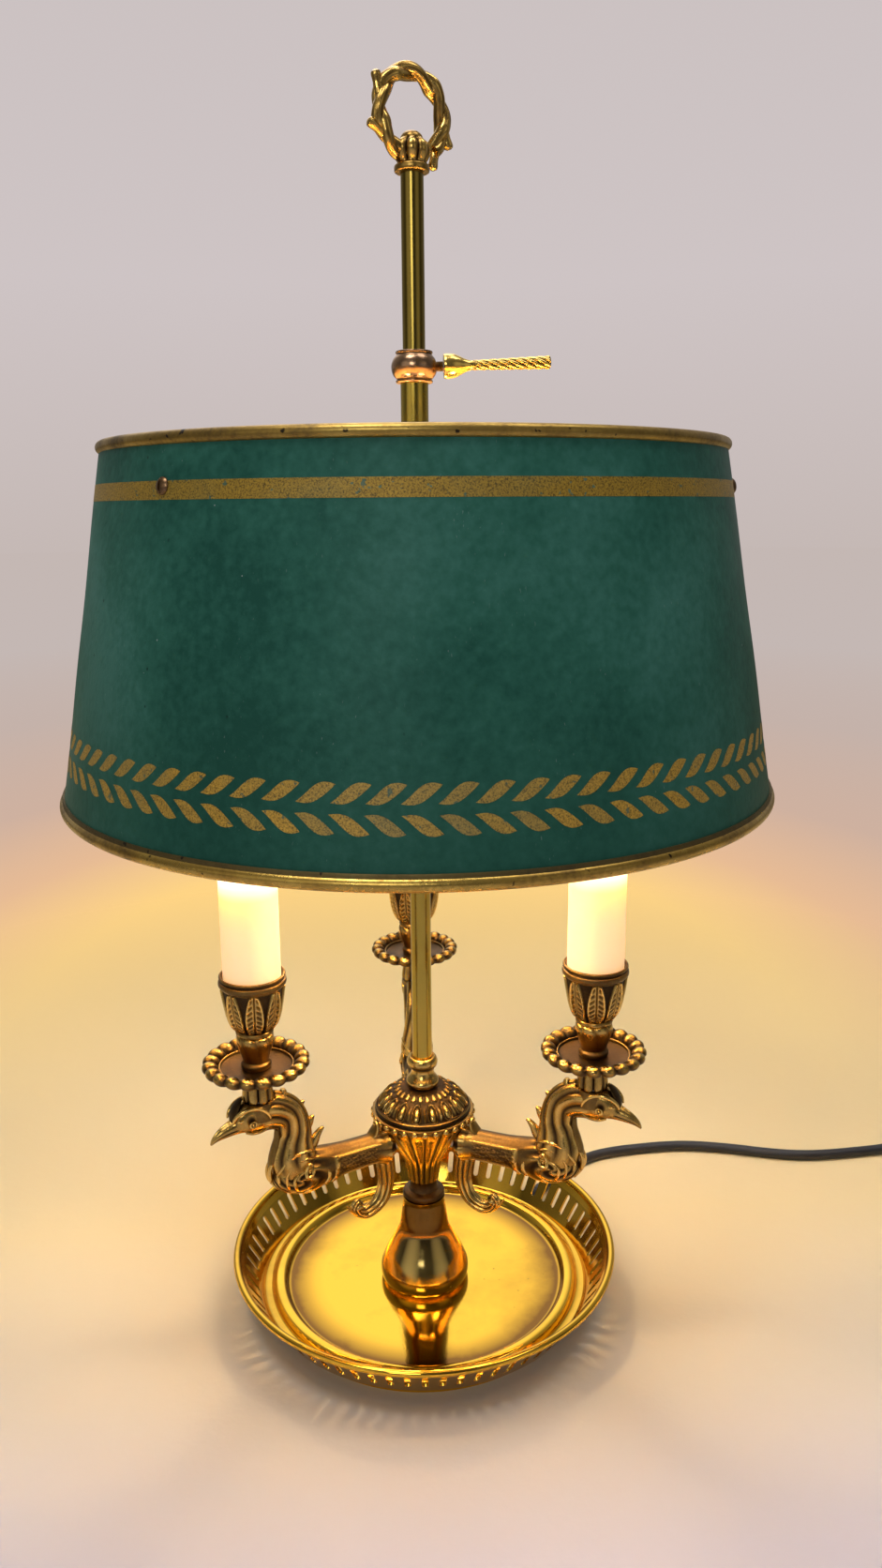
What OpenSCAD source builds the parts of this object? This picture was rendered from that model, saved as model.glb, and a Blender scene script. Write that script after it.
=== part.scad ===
// Bouillotte lamp: a round pierced tray, a bell-footed column with three bird-headed candle arms,
// and a painted metal shade on a spider that slides and turns on the central rod.
// Millimetres, +Z up, origin on the table under the column. The arms stand at 90, 210 and 330 degrees.

/* [Tray] */
// Outer radius of the rolled rim
tray_r = 100.2; // [96:0.1:110]
// Height of the rim's top above the table
tray_h = 30; // [27:0.5:36]
// Thickness of the spun sheet
tray_sheet = 1.2; // [1:0.1:1.5]
// Height of the floor's upper face above the table
floor_top = 8.4; // [8.2:0.1:10]
// Middle radius of the raised step ring
step_r = 76.8; // [74:0.1:79]
// Width of the raised step ring
step_w = 6.2; // [5.6:0.1:7]
// Rise of the step ring above the floor
step_h = 4.1; // [3:0.1:5]
// Width of the moat from the middle of the step ring to the wall's foot
moat_w = 8; // [7:0.1:10]
// Width of the rolled rim
rim_w = 3.4; // [3:0.1:4.2]
// Number of slots in the wall
slot_count = 70; // [60:1:72]
// Width of a slot
slot_w = 2.8; // [2:0.1:3]
// Length of a slot along the wall
slot_len = 11.5; // [8:0.5:12]
// Height of the middle of the slots above the floor
slot_mid = 9.6; // [8.6:0.1:10.6]
// Thickness of the foot hoop under the tray
hoop_t = 2; // [1.6:0.1:2.4]

/* [Column] */
// Height of the bell foot
bell_h = 47.1; // [42:0.5:52]
// Largest radius of the bell foot
bell_r = 23.2; // [20:0.2:26]
// Wall of the hollow bell foot
bell_wall = 2; // [1.6:0.1:2.6]
// Radius of the disc collar on the bell foot
disc_r = 10.9; // [9.5:0.1:12]
// Thickness of the disc collar
disc_h = 3.8; // [3:0.1:4.4]
// Radius of the neck under the fluted cup
neck_r = 7; // [6.4:0.1:7.6]
// Length of the neck under the fluted cup
neck_h = 6.4; // [5:0.1:7.4]
// Height of the fluted cup
cup_h = 36.9; // [35:0.1:39]
// Radius of the fluted cup at its top
cup_r = 25; // [24:0.1:26.4]
// Number of flutes round the cup
flute_count = 18; // [14:1:20]
// Depth of a flute
flute_depth = 0.9; // [0.5:0.1:1.3]
// Height of the beaded ring
bead_h = 3.4; // [3:0.1:4]
// Number of beads
bead_count = 30; // [24:1:34]
// Radius of one bead
bead_r = 1.35; // [1.1:0.05:1.5]
// Height of the domed cap
cap_h = 12.6; // [10:0.1:14]
// Radius of the domed cap's rim
cap_r = 25; // [24:0.1:26.4]
// Height of the rod collar
collar_h = 16.2; // [14:0.1:18]
// Largest radius of the rod collar
collar_r = 8.3; // [7.8:0.1:9]
// Outside radius of the threaded tie tube inside the column
tie_r = 4; // [3.6:0.1:4.2]
// Bore radius of the threaded tie tube
tie_bore = 2.8; // [2.4:0.1:3]
// Outside radius of the upright rod
rod_r = 5; // [4.8:0.1:5.2]
// Length of the upright rod
rod_len = 420; // [400:1:440]

/* [Arms] */
// Distance from the column's axis to a candle's axis
arm_reach = 91.2; // [88:0.1:94]
// Height of the flat on the bird's head that carries the candle
head_top = 138.6; // [137.6:0.1:140]
// Height of the fluted stub between head and drip pan
stub_h = 14.9; // [12:0.1:17]
// Outside radius of the drip pan
pan_r = 25; // [23.5:0.1:27]
// Number of lobes round the drip pan
lobe_count = 20; // [16:1:22]
// Height of the candle cup above the pan's floor
cup_stem_h = 47.8; // [44:0.1:50]
// Outside radius of the candle cup's lip
lip_r = 15.5; // [15:0.1:16.6]
// Leaves round a candle cup
leaf_count = 8; // [6:1:9]
// Outside radius of the candle sleeve
sleeve_r = 13.2; // [12.8:0.1:13.4]
// Length of the candle sleeve
sleeve_len = 77; // [60:1:85]
// Outside radius of the threaded nipple that clamps a candle
nipple_r = 5; // [4.6:0.1:5.2]
// Largest radius of the bulb
bulb_r = 17.5; // [15:0.5:18]
// Length of the bulb's glass
bulb_len = 72; // [60:1:76]

/* [Shade] */
// Outside radius at the bottom edge
shade_bottom_r = 163.1; // [150:0.1:175]
// Outside radius at the top edge
shade_top_r = 137; // [125:0.1:150]
// Height of the shade between the middles of its rims
shade_h = 151.8; // [140:0.1:165]
// Thickness of the shade's sheet
shade_sheet = 0.8; // [0.6:0.1:1]
// Radius of the rolled bottom rim
bottom_rim_r = 2.9; // [2.4:0.1:3.4]
// Radius of the rolled top rim
top_rim_r = 2.6; // [2.2:0.1:3]
// Height of the shade's bottom edge above the table
shade_z = 280; // [270:0.1:290]
// Distance from the top edge down to the spider's screws
screw_drop = 17; // [15:0.1:30]
// Direction of the first spider arm
spider_az = 106.5; // [90:0.5:120]
// Radius of a spider arm
spider_rod_r = 2; // [1.5:0.1:2.5]

/* [Slide] */
// Outside radius of the slide sleeve
slide_r = 6.2; // [6:0.1:6.6]
// Distance from the spider up to the clamp ball's underside
slide_rise = 49.5; // [40:0.1:58]
// Largest radius of the clamp ball
ball_r = 10.2; // [9.6:0.1:11]
// Height of the clamp ball
ball_h = 13.6; // [12.4:0.1:15]
// Radius of the key's thread
thread_r = 2.25; // [1.8:0.05:2.5]
// Distance from the rod's axis to the key's tip
key_end = 62; // [56:0.5:72]
// Radius of the key's cup
key_cup_r = 5.3; // [4.8:0.1:5.8]
// Upward tilt of the key
key_tilt = 2; // [0:0.5:3]
// Radius of the key's twisted stem at its tip
stem_r = 2.95; // [2.6:0.05:3.2]

/* [Finial] */
// Height of the vine ring
ring_h = 40.6; // [36:0.2:46]
// Radius of one strand of the vine
strand_r = 2.3; // [2:0.1:2.5]
// Direction of the ring's plane
ring_az = 33; // [0:1:90]
// Lean of the ring in its own plane
ring_lean = 12; // [0:1:15]
// Height of the ribbed bud
bud_h = 16.2; // [14:0.1:18]
// Ribs round the bud
rib_count = 10; // [8:1:12]

/* [Cord] */
// Diameter of the mains cord
cord_d = 6.2; // [5.8:0.1:6.4]
// Middle radius of the coil
coil_r = 34.1; // [33:0.1:36]
// Turns side by side in the coil
coil_columns = 3; // [2:1:3]
// Layers of the coil
coil_layers = 2; // [1:1:2]

/* [Hidden] */

// Directions of the three arms
az_rear = 90;
az_left = 210;
az_right = 330;

// Clearances
run_gap = 0.08;
seat_gap = 0.05;

// Facets of round forms
round_fn = 96;
fine_fn = 48;

// Colours
brass = [0.72, 0.53, 0.22];
antique = [0.45, 0.33, 0.15];
bronze = [0.36, 0.26, 0.16];
steel = [0.7, 0.7, 0.72];
white = [0.95, 0.93, 0.88];
green = [0.1, 0.27, 0.23];
gold = [0.62, 0.47, 0.17];
black = [0.03, 0.03, 0.03];

// Heights of the column's joints, from the table up
floor_under = floor_top - tray_sheet;
moat_top = floor_top + 0.6;
wall_foot_r = step_r + moat_w;
bell_top = floor_top + bell_h;
neck_top = bell_top + disc_h + neck_h;
cup_top = neck_top + cup_h;
bead_top = cup_top + bead_h;
cap_top = bead_top + cap_h;
collar_top = cap_top + collar_h;
rod_foot = collar_top - 6;
rod_top = rod_foot + rod_len;
tie_r_hole = tie_r + seat_gap;

// Radii of the fluted cup from bottom to top, as shares of its height and width
cup_shape = [[0, 0.32], [0.1, 0.34], [0.3, 0.4], [0.43, 0.49], [0.63, 0.68], [0.8, 0.84], [0.92, 0.955], [1, 1]];

// Candle heights
pan_floor = head_top + stub_h;
pan_lift = 2.4;
candle_seat = pan_floor + cup_stem_h - 4.8;
sleeve_wall = 1.3;
sleeve_top = candle_seat + sleeve_len;
bulb_foot = sleeve_top - 3;
holder_r = 10.6;
cap_cyl_r = 7;
bulb_cap_len = 24;

// Shade
shade_slope = (shade_bottom_r - shade_top_r) / shade_h;
shade_angle = atan(shade_slope);
shade_top = shade_z + shade_h;
screw_z = shade_top - screw_drop;
screw_rise = 6.5;
spider_z = screw_z - screw_rise;
screw_out_r = shade_top_r + screw_drop * shade_slope;
spider_t = 5;
spider_ring_r = 11;
tab_t = 1.6;
screw_r = 2;

// Slide
ball_z = spider_z + spider_t / 2 + slide_rise;
ball_mid = ball_z + ball_h / 2;
slide_nut_h = 6;
sleeve_sink = 3.5;
key_start = 13.1;
key_cone_len = 12.2;

// Finial
bud_z = rod_top - 3;
ring_mid = bud_z + ring_h / 2 + 2.2;

// Cord: it leaves through the foot hoop, lies on the table, passes the switch and ends in the coil
cord_r = cord_d / 2;
cord_lie = cord_r + 0.05;
exit_az = 47;
relief_r = 3.5;
relief_from = step_r - 10.8;
relief_to = step_r + 38.2;
relief_end = [relief_to * cos(exit_az), relief_to * sin(exit_az), cord_lie];
coil_at = [380, 48];
coil_lift = 0.9;
coil_band = cord_d + 0.1;
coil_in = coil_r - coil_columns * coil_band / 2;
coil_out = coil_r + coil_columns * coil_band / 2;
coil_h = coil_layers * cord_d + 0.2;
switch_at = [332, 108];
switch_len = 60;
switch_w = 24;
switch_h = 14.5;
switch_mid = 7.2;
plug_len = 36;
plug_w = 26;
plug_h = 14.4;
route_out = [[84, 90, cord_lie], [92, 98, cord_lie], [102, 107, cord_lie], [114, 114, cord_lie],
    [128, 118, cord_lie], [142, 120, cord_lie], [158, 121.5, cord_lie], [174, 121.5, cord_lie],
    [190, 119, cord_lie], [206, 115, cord_lie], [222, 110, cord_lie], [238, 106, cord_lie],
    [254, 104.5, cord_lie], [270, 105, cord_lie], [286, 106.5, cord_lie], [298, 107.5, 3.4],
    [307, 108, 4.6], [316, 108, 6.2], [323, 108, 7], [327.5, 108, switch_mid]];
route_in = [[396.5, 108, switch_mid], [404, 106.8, 6.4], [412, 103.2, 5], [419, 97, 4], [424, 89, 3.6]];
coil_side = coil_at[0] + coil_out + cord_r + 0.05;
coil_low = coil_lift + cord_r;
coil_high = coil_low + cord_d;
plug_x = coil_side - 0.2;
plug_at = [plug_x, -6];
route_plug = [[coil_side, 47, coil_high], [coil_side, 40, coil_high - 0.1], [coil_side, 32, 9.4], [plug_x, 24, 8.2],
    [plug_x, 16, 7.4]];

// ---- Functions -------------------------------------------------------------------------------------

// A smooth curve through pts, with n steps between neighbours
function curve_at(a, b, c, d, t) =
    0.5 * (2 * b + (c - a) * t + (2 * a - 5 * b + 4 * c - d) * t * t + (3 * b - a - 3 * c + d) * t * t * t);
function smooth(pts, n) = [
    for (i = [0:len(pts) - 2]) for (j = [0:n - 1])
        curve_at(pts[max(i - 1, 0)], pts[i], pts[i + 1], pts[min(i + 2, len(pts) - 1)], j / n),
    pts[len(pts) - 1]
];
function unit(v) = v / norm(v);
function tangent(pts, i) = unit(pts[min(i + 1, len(pts) - 1)] - pts[max(i - 1, 0)]);

// A ring of a tube along a path in space
function tube_ring(c, t, r, sides) =
    let (side = unit(cross(t, [0, 0, 1])), up = cross(side, t))
    [for (k = [0:sides - 1]) c + r * (cos(360 * k / sides) * side + sin(360 * k / sides) * up)];
function tube_rings(pts, r, sides) = [for (i = [0:len(pts) - 1]) tube_ring(pts[i], tangent(pts, i), r, sides)];

// A ring of a limb in the X-Z plane: s is [x, z, half height, half width]
function limb_ring(s, t, sides) =
    [for (k = [0:sides - 1]) let (a = 360 * k / sides)
        [s[0] - t[1] * s[2] * cos(a), s[3] * sin(a), s[1] + t[0] * s[2] * cos(a)]];
function flat(s) = [s[0], s[1]];
function limb_rings(st, sides) = let (path = [for (s = st) flat(s)])
    [for (i = [0:len(st) - 1]) limb_ring(st[i], tangent(path, i), sides)];

// A level ring with lobes: the radius dips by depth between them
function lobed_ring(r, z, lobes, depth, per) =
    [for (k = [0:lobes * per - 1]) let (a = -360 * k / (lobes * per), q = r - depth * (1 - cos(lobes * a)) / 2)
        [q * cos(a), q * sin(a), z]];

// A closed outline round a sheet that follows pts, t thick on the left of the way it runs
function left_of(pts, i, t) = let (d = tangent(pts, i)) pts[i] + t * [-d[1], d[0]];
function sheet(pts, t) = concat(pts, [for (i = [len(pts) - 1:-1:0]) left_of(pts, i, t)]);

// ---- General modules -------------------------------------------------------------------------------

// A closed skin over rings of equal length
module loft(rings) {
    n = len(rings[0]);
    m = len(rings);
    points = [for (ring = rings) each ring];
    skin = [for (i = [0:m - 2]) for (j = [0:n - 1]) let (a = i * n + j, b = i * n + (j + 1) % n)
        each [[a, b, a + n], [b, b + n, a + n]]];
    ends = [[for (j = [n - 1:-1:0]) j], [for (j = [0:n - 1]) (m - 1) * n + j]];
    polyhedron(points = points, faces = concat(ends, skin), convexity = 6);
}

// A tube between two radii
module pipe(r_out, r_in, h) {
    difference() {
        cylinder(r = r_out, h = h, $fn = round_fn);
        translate([0, 0, -1]) cylinder(r = r_in, h = h + 2, $fn = round_fn);
    }
}

module turned(outline) {
    rotate_extrude($fn = round_fn) polygon(outline);
}

// Puts its children at the place of each arm's candle
module at_candle(az) {
    rotate([0, 0, az]) translate([arm_reach, 0, 0]) children();
}

// ---- Tray ------------------------------------------------------------------------------------------

wall_top = [tray_r - rim_w, tray_h - 2];
wall_foot = [wall_foot_r, moat_top];
wall_angle = atan2(wall_top[1] - wall_foot[1], wall_top[0] - wall_foot[0]);

// The upper face of the spun sheet, from the centre hole out to the rim
tray_face = [
    [tie_r_hole, floor_top],
    [step_r - step_w / 2 - 1, floor_top],
    [step_r - step_w / 2, floor_top + 1],
    [step_r - step_w / 2 + 0.4, floor_top + step_h - 0.8],
    [step_r - 1.6, floor_top + step_h],
    [step_r + 1.6, floor_top + step_h],
    [step_r + step_w / 2 - 0.4, floor_top + step_h - 0.8],
    [step_r + step_w / 2 + 0.5, moat_top + 0.3],
    [wall_foot_r - 1.4, moat_top],
    wall_foot + [0, 0.6],
    wall_top - [0.6, 1],
    wall_top + [0.6, 0.6]
];

module tray_slot() {
    rotate([0, 90 - wall_angle, 0]) rotate([0, 90, 0]) linear_extrude(6, center = true) union() {
        square([slot_len - slot_w, slot_w], center = true);
        translate([slot_len / 2 - slot_w / 2, 0]) circle(d = slot_w, $fn = 16);
        translate([slot_w / 2 - slot_len / 2, 0]) circle(d = slot_w, $fn = 16);
    }
}

module tray() {
    slot_z = moat_top + slot_mid;
    slot_x = wall_foot_r + slot_mid / tan(wall_angle);
    color(brass) difference() {
        union() {
            turned(sheet(tray_face, -tray_sheet));
            translate([0, 0, tray_h - rim_w / 2]) rotate_extrude($fn = round_fn)
                translate([tray_r - rim_w / 2, 0]) circle(d = rim_w, $fn = 24);
        }
        for (i = [0:slot_count - 1])
            rotate([0, 0, 360 * i / slot_count]) translate([slot_x, 0, slot_z]) tray_slot();
    }
}

// The hoop stands on the table and seats in the hollow of the step ring; the cord leaves by its notch
module foot_hoop() {
    hoop_out = step_r + 0.7;
    hoop_h = floor_top + step_h - tray_sheet;
    color(brass) difference() {
        pipe(hoop_out, hoop_out - hoop_t, hoop_h - seat_gap);
        rotate([0, 0, exit_az]) translate([hoop_out, 0, 0])
            cube([3 * hoop_t + 2, 2 * relief_r + 2 * seat_gap, 4 * relief_r + 0.6], center = true);
    }
}

nut_h = 4.2;
washer_h = 1.4;
module base_nut() {
    color(steel) translate([0, 0, floor_under - washer_h - nut_h]) difference() {
        cylinder(r = 2 * tie_r, h = nut_h, $fn = 6);
        translate([0, 0, -1]) cylinder(r = tie_r_hole, h = nut_h + 2, $fn = fine_fn);
    }
}

module base_washer() {
    color(steel) translate([0, 0, floor_under - washer_h]) pipe(3 * tie_r, tie_r_hole, washer_h);
}

module tie_tube() {
    color(steel) translate([0, 0, floor_under - washer_h - nut_h]) pipe(tie_r, tie_bore,
        rod_foot + 10 - floor_under + washer_h + nut_h);
}

// ---- Column ----------------------------------------------------------------------------------------

// Ogee outline of the bell: a long hollow neck that swells into a round skirt
bell_line = smooth([
    [bell_r * 0.95, floor_top],
    [bell_r, floor_top + bell_h * 0.11],
    [bell_r * 0.95, floor_top + bell_h * 0.215],
    [bell_r * 0.85, floor_top + bell_h * 0.325],
    [bell_r * 0.73, floor_top + bell_h * 0.435],
    [bell_r * 0.58, floor_top + bell_h * 0.59],
    [bell_r * 0.53, floor_top + bell_h * 0.71],
    [bell_r * 0.465, floor_top + bell_h * 0.94],
    [bell_r * 0.475, bell_top]
], 3);

module bell_foot() {
    crown = [[tie_r_hole, bell_top], [tie_r_hole, bell_top - 3]];
    inside = [for (i = [len(bell_line) - 4:-1:0]) bell_line[i] - [bell_wall, 0]];
    color(brass) turned(concat(bell_line, crown, inside));
}

module disc_collar() {
    z = bell_top;
    color(bronze) turned([
        [tie_r_hole, z], [disc_r - 1.4, z], [disc_r - 0.4, z + 0.5], [disc_r, z + disc_h * 0.45],
        [disc_r - 0.6, z + disc_h * 0.8], [disc_r - 2.4, z + disc_h], [neck_r + 0.4, z + disc_h + 0.6],
        [neck_r, z + disc_h + neck_h * 0.5], [neck_r + 0.4, neck_top], [tie_r_hole, neck_top]
    ]);
}

// The fluted cup's outline without its flutes, as [radius, height] pairs
cup_line = [for (s = cup_shape) [s[1] * cup_r, neck_top + s[0] * cup_h]];

// Directions of the arms carry a screw through the cup's wall
arm_screw_z = cup_top - 13.2;
arm_screw_r = 2.4;
arm_screw_in = 12.4;
arm_screw_len = 15.6;
arm_head_r = 3.6;

module arm_screw_hole(gap) {
    translate([0, 0, arm_screw_z]) rotate([0, 90, 0]) cylinder(r = arm_screw_r + gap, h = 40, $fn = fine_fn);
}

module hub_cup() {
    well = cup_top - 26;
    color(antique) difference() {
        loft([for (p = cup_line) lobed_ring(p[0], p[1], flute_count, flute_depth, 4)]);
        translate([0, 0, neck_top - 1]) cylinder(r = tie_r_hole, h = cup_h + 2, $fn = fine_fn);
        translate([0, 0, well]) cylinder(r1 = tie_r + 2, r2 = cup_r - 4, h = 26.1, $fn = round_fn);
        for (az = [az_rear, az_left, az_right]) rotate([0, 0, az]) {
            arm_screw_hole(seat_gap);
            translate([0, 0, arm_screw_z]) rotate([0, 90, 0])
                cylinder(r = arm_head_r + 0.2, h = arm_screw_in, $fn = fine_fn);
        }
    }
}

module arm_screws() {
    color(steel) for (az = [az_rear, az_left, az_right]) rotate([0, 0, az]) translate([0, 0, arm_screw_z])
        rotate([0, 90, 0]) {
            translate([0, 0, arm_screw_in]) cylinder(r = arm_screw_r, h = arm_screw_len, $fn = fine_fn);
            translate([0, 0, arm_screw_in - 2.4]) cylinder(r = arm_head_r, h = 2.4, $fn = 6);
        }
}

module bead_ring() {
    bead_mid = cup_top + bead_h / 2;
    bead_on = cup_r + 0.2;
    color(antique) {
        difference() {
            union() {
                translate([0, 0, cup_top]) cylinder(r = cup_r, h = bead_h, $fn = round_fn);
                for (i = [0:bead_count - 1]) rotate([0, 0, 360 * (i + 0.5) / bead_count])
                    translate([bead_on, 0, bead_mid]) sphere(r = bead_r, $fn = 24);
            }
            translate([0, 0, cup_top - 1]) cylinder(r = cup_r - 4, h = bead_h + 2, $fn = round_fn);
        }
    }
}

// Two rings of raised ornament on the cap: small petals inside, eggs outside
petal_count = 24;
egg_count = 16;
module hub_cap() {
    z = bead_top;
    color(antique) difference() {
        union() {
            turned([
                [0, z], [cap_r - 0.6, z], [cap_r, z + cap_h * 0.08], [cap_r - 0.3, z + cap_h * 0.18],
                [cap_r * 0.93, z + cap_h * 0.24], [cap_r * 0.91, z + cap_h * 0.2],
                [cap_r * 0.88, z + cap_h * 0.33], [cap_r * 0.74, z + cap_h * 0.62],
                [cap_r * 0.6, z + cap_h * 0.8], [cap_r * 0.57, z + cap_h * 0.83],
                [cap_r * 0.48, z + cap_h * 0.95], [cap_r * 0.3, cap_top], [0, cap_top]
            ]);
            for (i = [0:egg_count - 1]) rotate([0, 0, 360 * i / egg_count])
                translate([cap_r * 0.76, 0, z + cap_h * 0.52]) sphere(r = 2.6, $fn = 24);
            for (i = [0:petal_count - 1]) rotate([0, 0, 360 * i / petal_count])
                translate([cap_r * 0.5, 0, z + cap_h * 0.86]) sphere(r = 1.4, $fn = 20);
        }
        translate([0, 0, z - 1]) cylinder(r = tie_r_hole, h = cap_h + 2, $fn = fine_fn);
    }
}

module rod_collar() {
    z = cap_top;
    h = collar_h;
    throat = rod_r + 0.6;
    color(antique) difference() {
        turned([
            [0, z], [collar_r - 1.3, z], [collar_r, z + h * 0.1], [collar_r - 0.2, z + h * 0.2],
            [collar_r - 1.9, z + h * 0.36], [throat, z + h * 0.48], [throat + 0.2, z + h * 0.6],
            [collar_r - 1.1, z + h * 0.68], [collar_r - 0.5, z + h * 0.78], [collar_r - 0.5, z + h * 0.87],
            [collar_r - 1.3, z + h * 0.96], [collar_r - 2, z + h], [0, z + h]
        ]);
        translate([0, 0, z - 1]) cylinder(r = tie_r_hole, h = h + 2, $fn = fine_fn);
        translate([0, 0, rod_foot]) cylinder(r = rod_r + seat_gap, h = h, $fn = fine_fn);
    }
}

module rod() {
    color(brass) translate([0, 0, rod_foot]) pipe(rod_r, tie_r_hole + seat_gap, rod_len);
}

// ---- Arms ------------------------------------------------------------------------------------------

arm_z = arm_screw_z + 2.4;
reach = arm_reach - 91.2;
rise = head_top - 138.6;

// Stations of the arm from inside the hub out to the bird's breast: [distance from the axis, height,
// half height, half width]
bar = [
    [12, arm_z, 5.6, 5.6],
    [23, arm_z, 7.5, 7.6],
    [28, arm_z + 0.3, 7.8, 7.3],
    [38, arm_z + 0.6, 8, 7],
    [49, arm_z + 1, 8.4, 7.2],
    [59 + reach, arm_z + 1.2, 9.8, 8.3],
    [67 + reach, arm_z + 1.6, 10.7, 9.2],
    [74.5 + reach, arm_z + 2.2, 9.7, 9.3],
    [80.5 + reach, arm_z + 3.2, 7.2, 7.6],
    [84.4 + reach, arm_z + 4.4, 3.8, 4.4],
    [85.8 + reach, arm_z + 5, 1, 1.2]
];

// Stations of the neck and head, up from the breast and out to the beak's tip
neck = [
    [74 + reach, arm_z + 2, 10.6, 8.4],
    [74.5 + reach, arm_z + 10.2, 11.4, 8.8],
    [73.8 + reach, arm_z + 19.7 + rise / 2, 8.8, 7.2],
    [73.8 + reach, arm_z + 27.2 + rise / 2, 7.8, 6.4],
    [77.5 + reach, 127 + rise, 8, 6.2],
    [86 + reach, 131.3 + rise, 9, 6.6],
    [93.5 + reach, 131.3 + rise, 9.2, 6.5],
    [99.5 + reach, 130 + rise, 7.6, 5.6],
    [103 + reach, 128.6 + rise, 5.4, 4.2],
    [108 + reach, 127.3 + rise, 3.8, 3],
    [112.5 + reach, 125.2 + rise, 2.2, 1.8],
    [115.6 + reach, 122.3 + rise, 0.5, 0.5]
];

// The reeded C-scroll under the arm
scroll = [
    [24, arm_z - 5, 3, 3.6],
    [23, arm_z - 10.3, 2.9, 3.6],
    [22.3, arm_z - 16.8, 2.8, 3.5],
    [22.8, arm_z - 23.3, 2.7, 3.4],
    [25.5, arm_z - 29.3, 2.5, 3.2],
    [30, arm_z - 33, 2.4, 3],
    [35, arm_z - 34.6, 2.2, 2.8],
    [39, arm_z - 33, 2, 2.6]
];
scroll_leaf = [[31, arm_z - 32.5, 1.6, 2.4], [38, arm_z - 33.4, 1.6, 2.2], [42, arm_z - 31.6, 1.2, 1.6],
    [45, arm_z - 28.8, 0.3, 0.4]];
scroll_ball = [40, 0, arm_z - 30];

// Thorns down the back of the neck, and the leaf behind the candle
thorns = [
    [[70 + reach, 105.4, 2.4, 1.8], [64.4 + reach, 106.4, 1.8, 1.4], [60.6 + reach, 109.6, 1.3, 1.1],
        [58.6 + reach, 113.4, 0.7, 0.7]],
    [[72 + reach, 114, 2.6, 1.6], [68 + reach, 117, 1.9, 1.3], [65.4 + reach, 121.6, 0.5, 0.5]],
    [[76 + reach, 123.6, 2.6, 1.6], [73 + reach, 127, 1.9, 1.3], [71 + reach, 131.4, 0.6, 0.5]],
    [[82 + reach, 132 + rise, 2, 2.4], [81.4 + reach, 137 + rise, 2, 2.8], [80.2 + reach, 141.6 + rise, 1.4, 2],
        [79.6 + reach, 144 + rise, 0.6, 0.8]]
];
eye_x = 94.5 + reach;
eye_z = 130.4 + rise;
eye_out = 6.7;
stub_out = 7.6;

module arm(az) {
    color(antique) rotate([0, 0, az]) difference() {
        union() {
            loft(limb_rings(smooth(bar, 2), 12));
            loft(limb_rings(smooth(neck, 2), 12));
            loft(limb_rings(smooth(scroll, 2), 8));
            loft(limb_rings(scroll_leaf, 6));
            translate(scroll_ball) rotate([90, 0, 0]) cylinder(r = 2.6, h = 5.6, center = true, $fn = 20);
            for (t = thorns) loft(limb_rings(t, 6));
            translate([eye_x, 0, eye_z]) rotate([90, 0, 0]) cylinder(r = 1.9, h = 2 * eye_out, center = true, $fn = 20);
            translate([arm_reach, 0, head_top - 9]) cylinder(r = stub_out - 0.2, h = 9, $fn = 32);
        }
        turned(concat([[0, neck_top]], cup_line, [[cup_r + bead_r + 0.4, cup_top], [0, cup_top]]));
        arm_screw_hole(seat_gap);
        translate([arm_reach, 0, head_top - 6]) cylinder(r = nipple_r + seat_gap, h = 20, $fn = 32);
        translate([arm_reach, 0, head_top]) cylinder(r = stub_out + 0.1, h = 20, $fn = 32);
    }
}

// ---- Candles ---------------------------------------------------------------------------------------

stub_rib_count = 8;
stub_steps = 64;
rib_depth = 1.4;
module stub(az) {
    outline = [for (k = [0:stub_steps - 1]) let (a = 360 * k / stub_steps,
        q = stub_out - rib_depth * (1 - abs(cos(stub_rib_count * a / 2)))) [q * cos(a), q * sin(a)]];
    color(antique) at_candle(az) translate([0, 0, head_top]) difference() {
        linear_extrude(stub_h) polygon(outline);
        translate([0, 0, -1]) cylinder(r = nipple_r + seat_gap, h = stub_h + 2, $fn = fine_fn);
    }
}

pan_sheet = 1.5;
module drip_pan(az) {
    lobe_r = 3.6;
    lobe_on = pan_r - lobe_r;
    z = pan_floor;
    color(antique) at_candle(az) difference() {
        union() {
            turned([
                [0, z], [lobe_on - 3, z], [lobe_on - 0.6, z + 0.6], [lobe_on + 1, z + pan_lift],
                [lobe_on - 1, z + pan_lift + 2], [lobe_on - 3, z + pan_lift + 1.4],
                [lobe_on - 4.6, z + pan_sheet], [0, z + pan_sheet]
            ]);
            for (i = [0:lobe_count - 1]) rotate([0, 0, 360 * i / lobe_count])
                translate([lobe_on, 0, z + pan_lift]) sphere(r = lobe_r, $fn = 24);
        }
        translate([0, 0, z - 1]) cylinder(r = nipple_r + seat_gap, h = pan_sheet + 2, $fn = fine_fn);
        translate([0, 0, z + pan_sheet]) cylinder(r = lobe_on - 4.6, h = 12, $fn = round_fn);
    }
}

// The candle cup: a baluster stem, a ring, and a cup wrapped in leaves under a double lip
cup_foot = pan_floor + pan_sheet;
candle_h = cup_stem_h - pan_sheet;
cup_well = cup_foot + candle_h * 0.7;
leaf_line = smooth([[6.9, 0.46], [9.6, 0.52], [12.5, 0.65], [13.8, 0.77], [14.4, 0.895]], 2);

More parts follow.
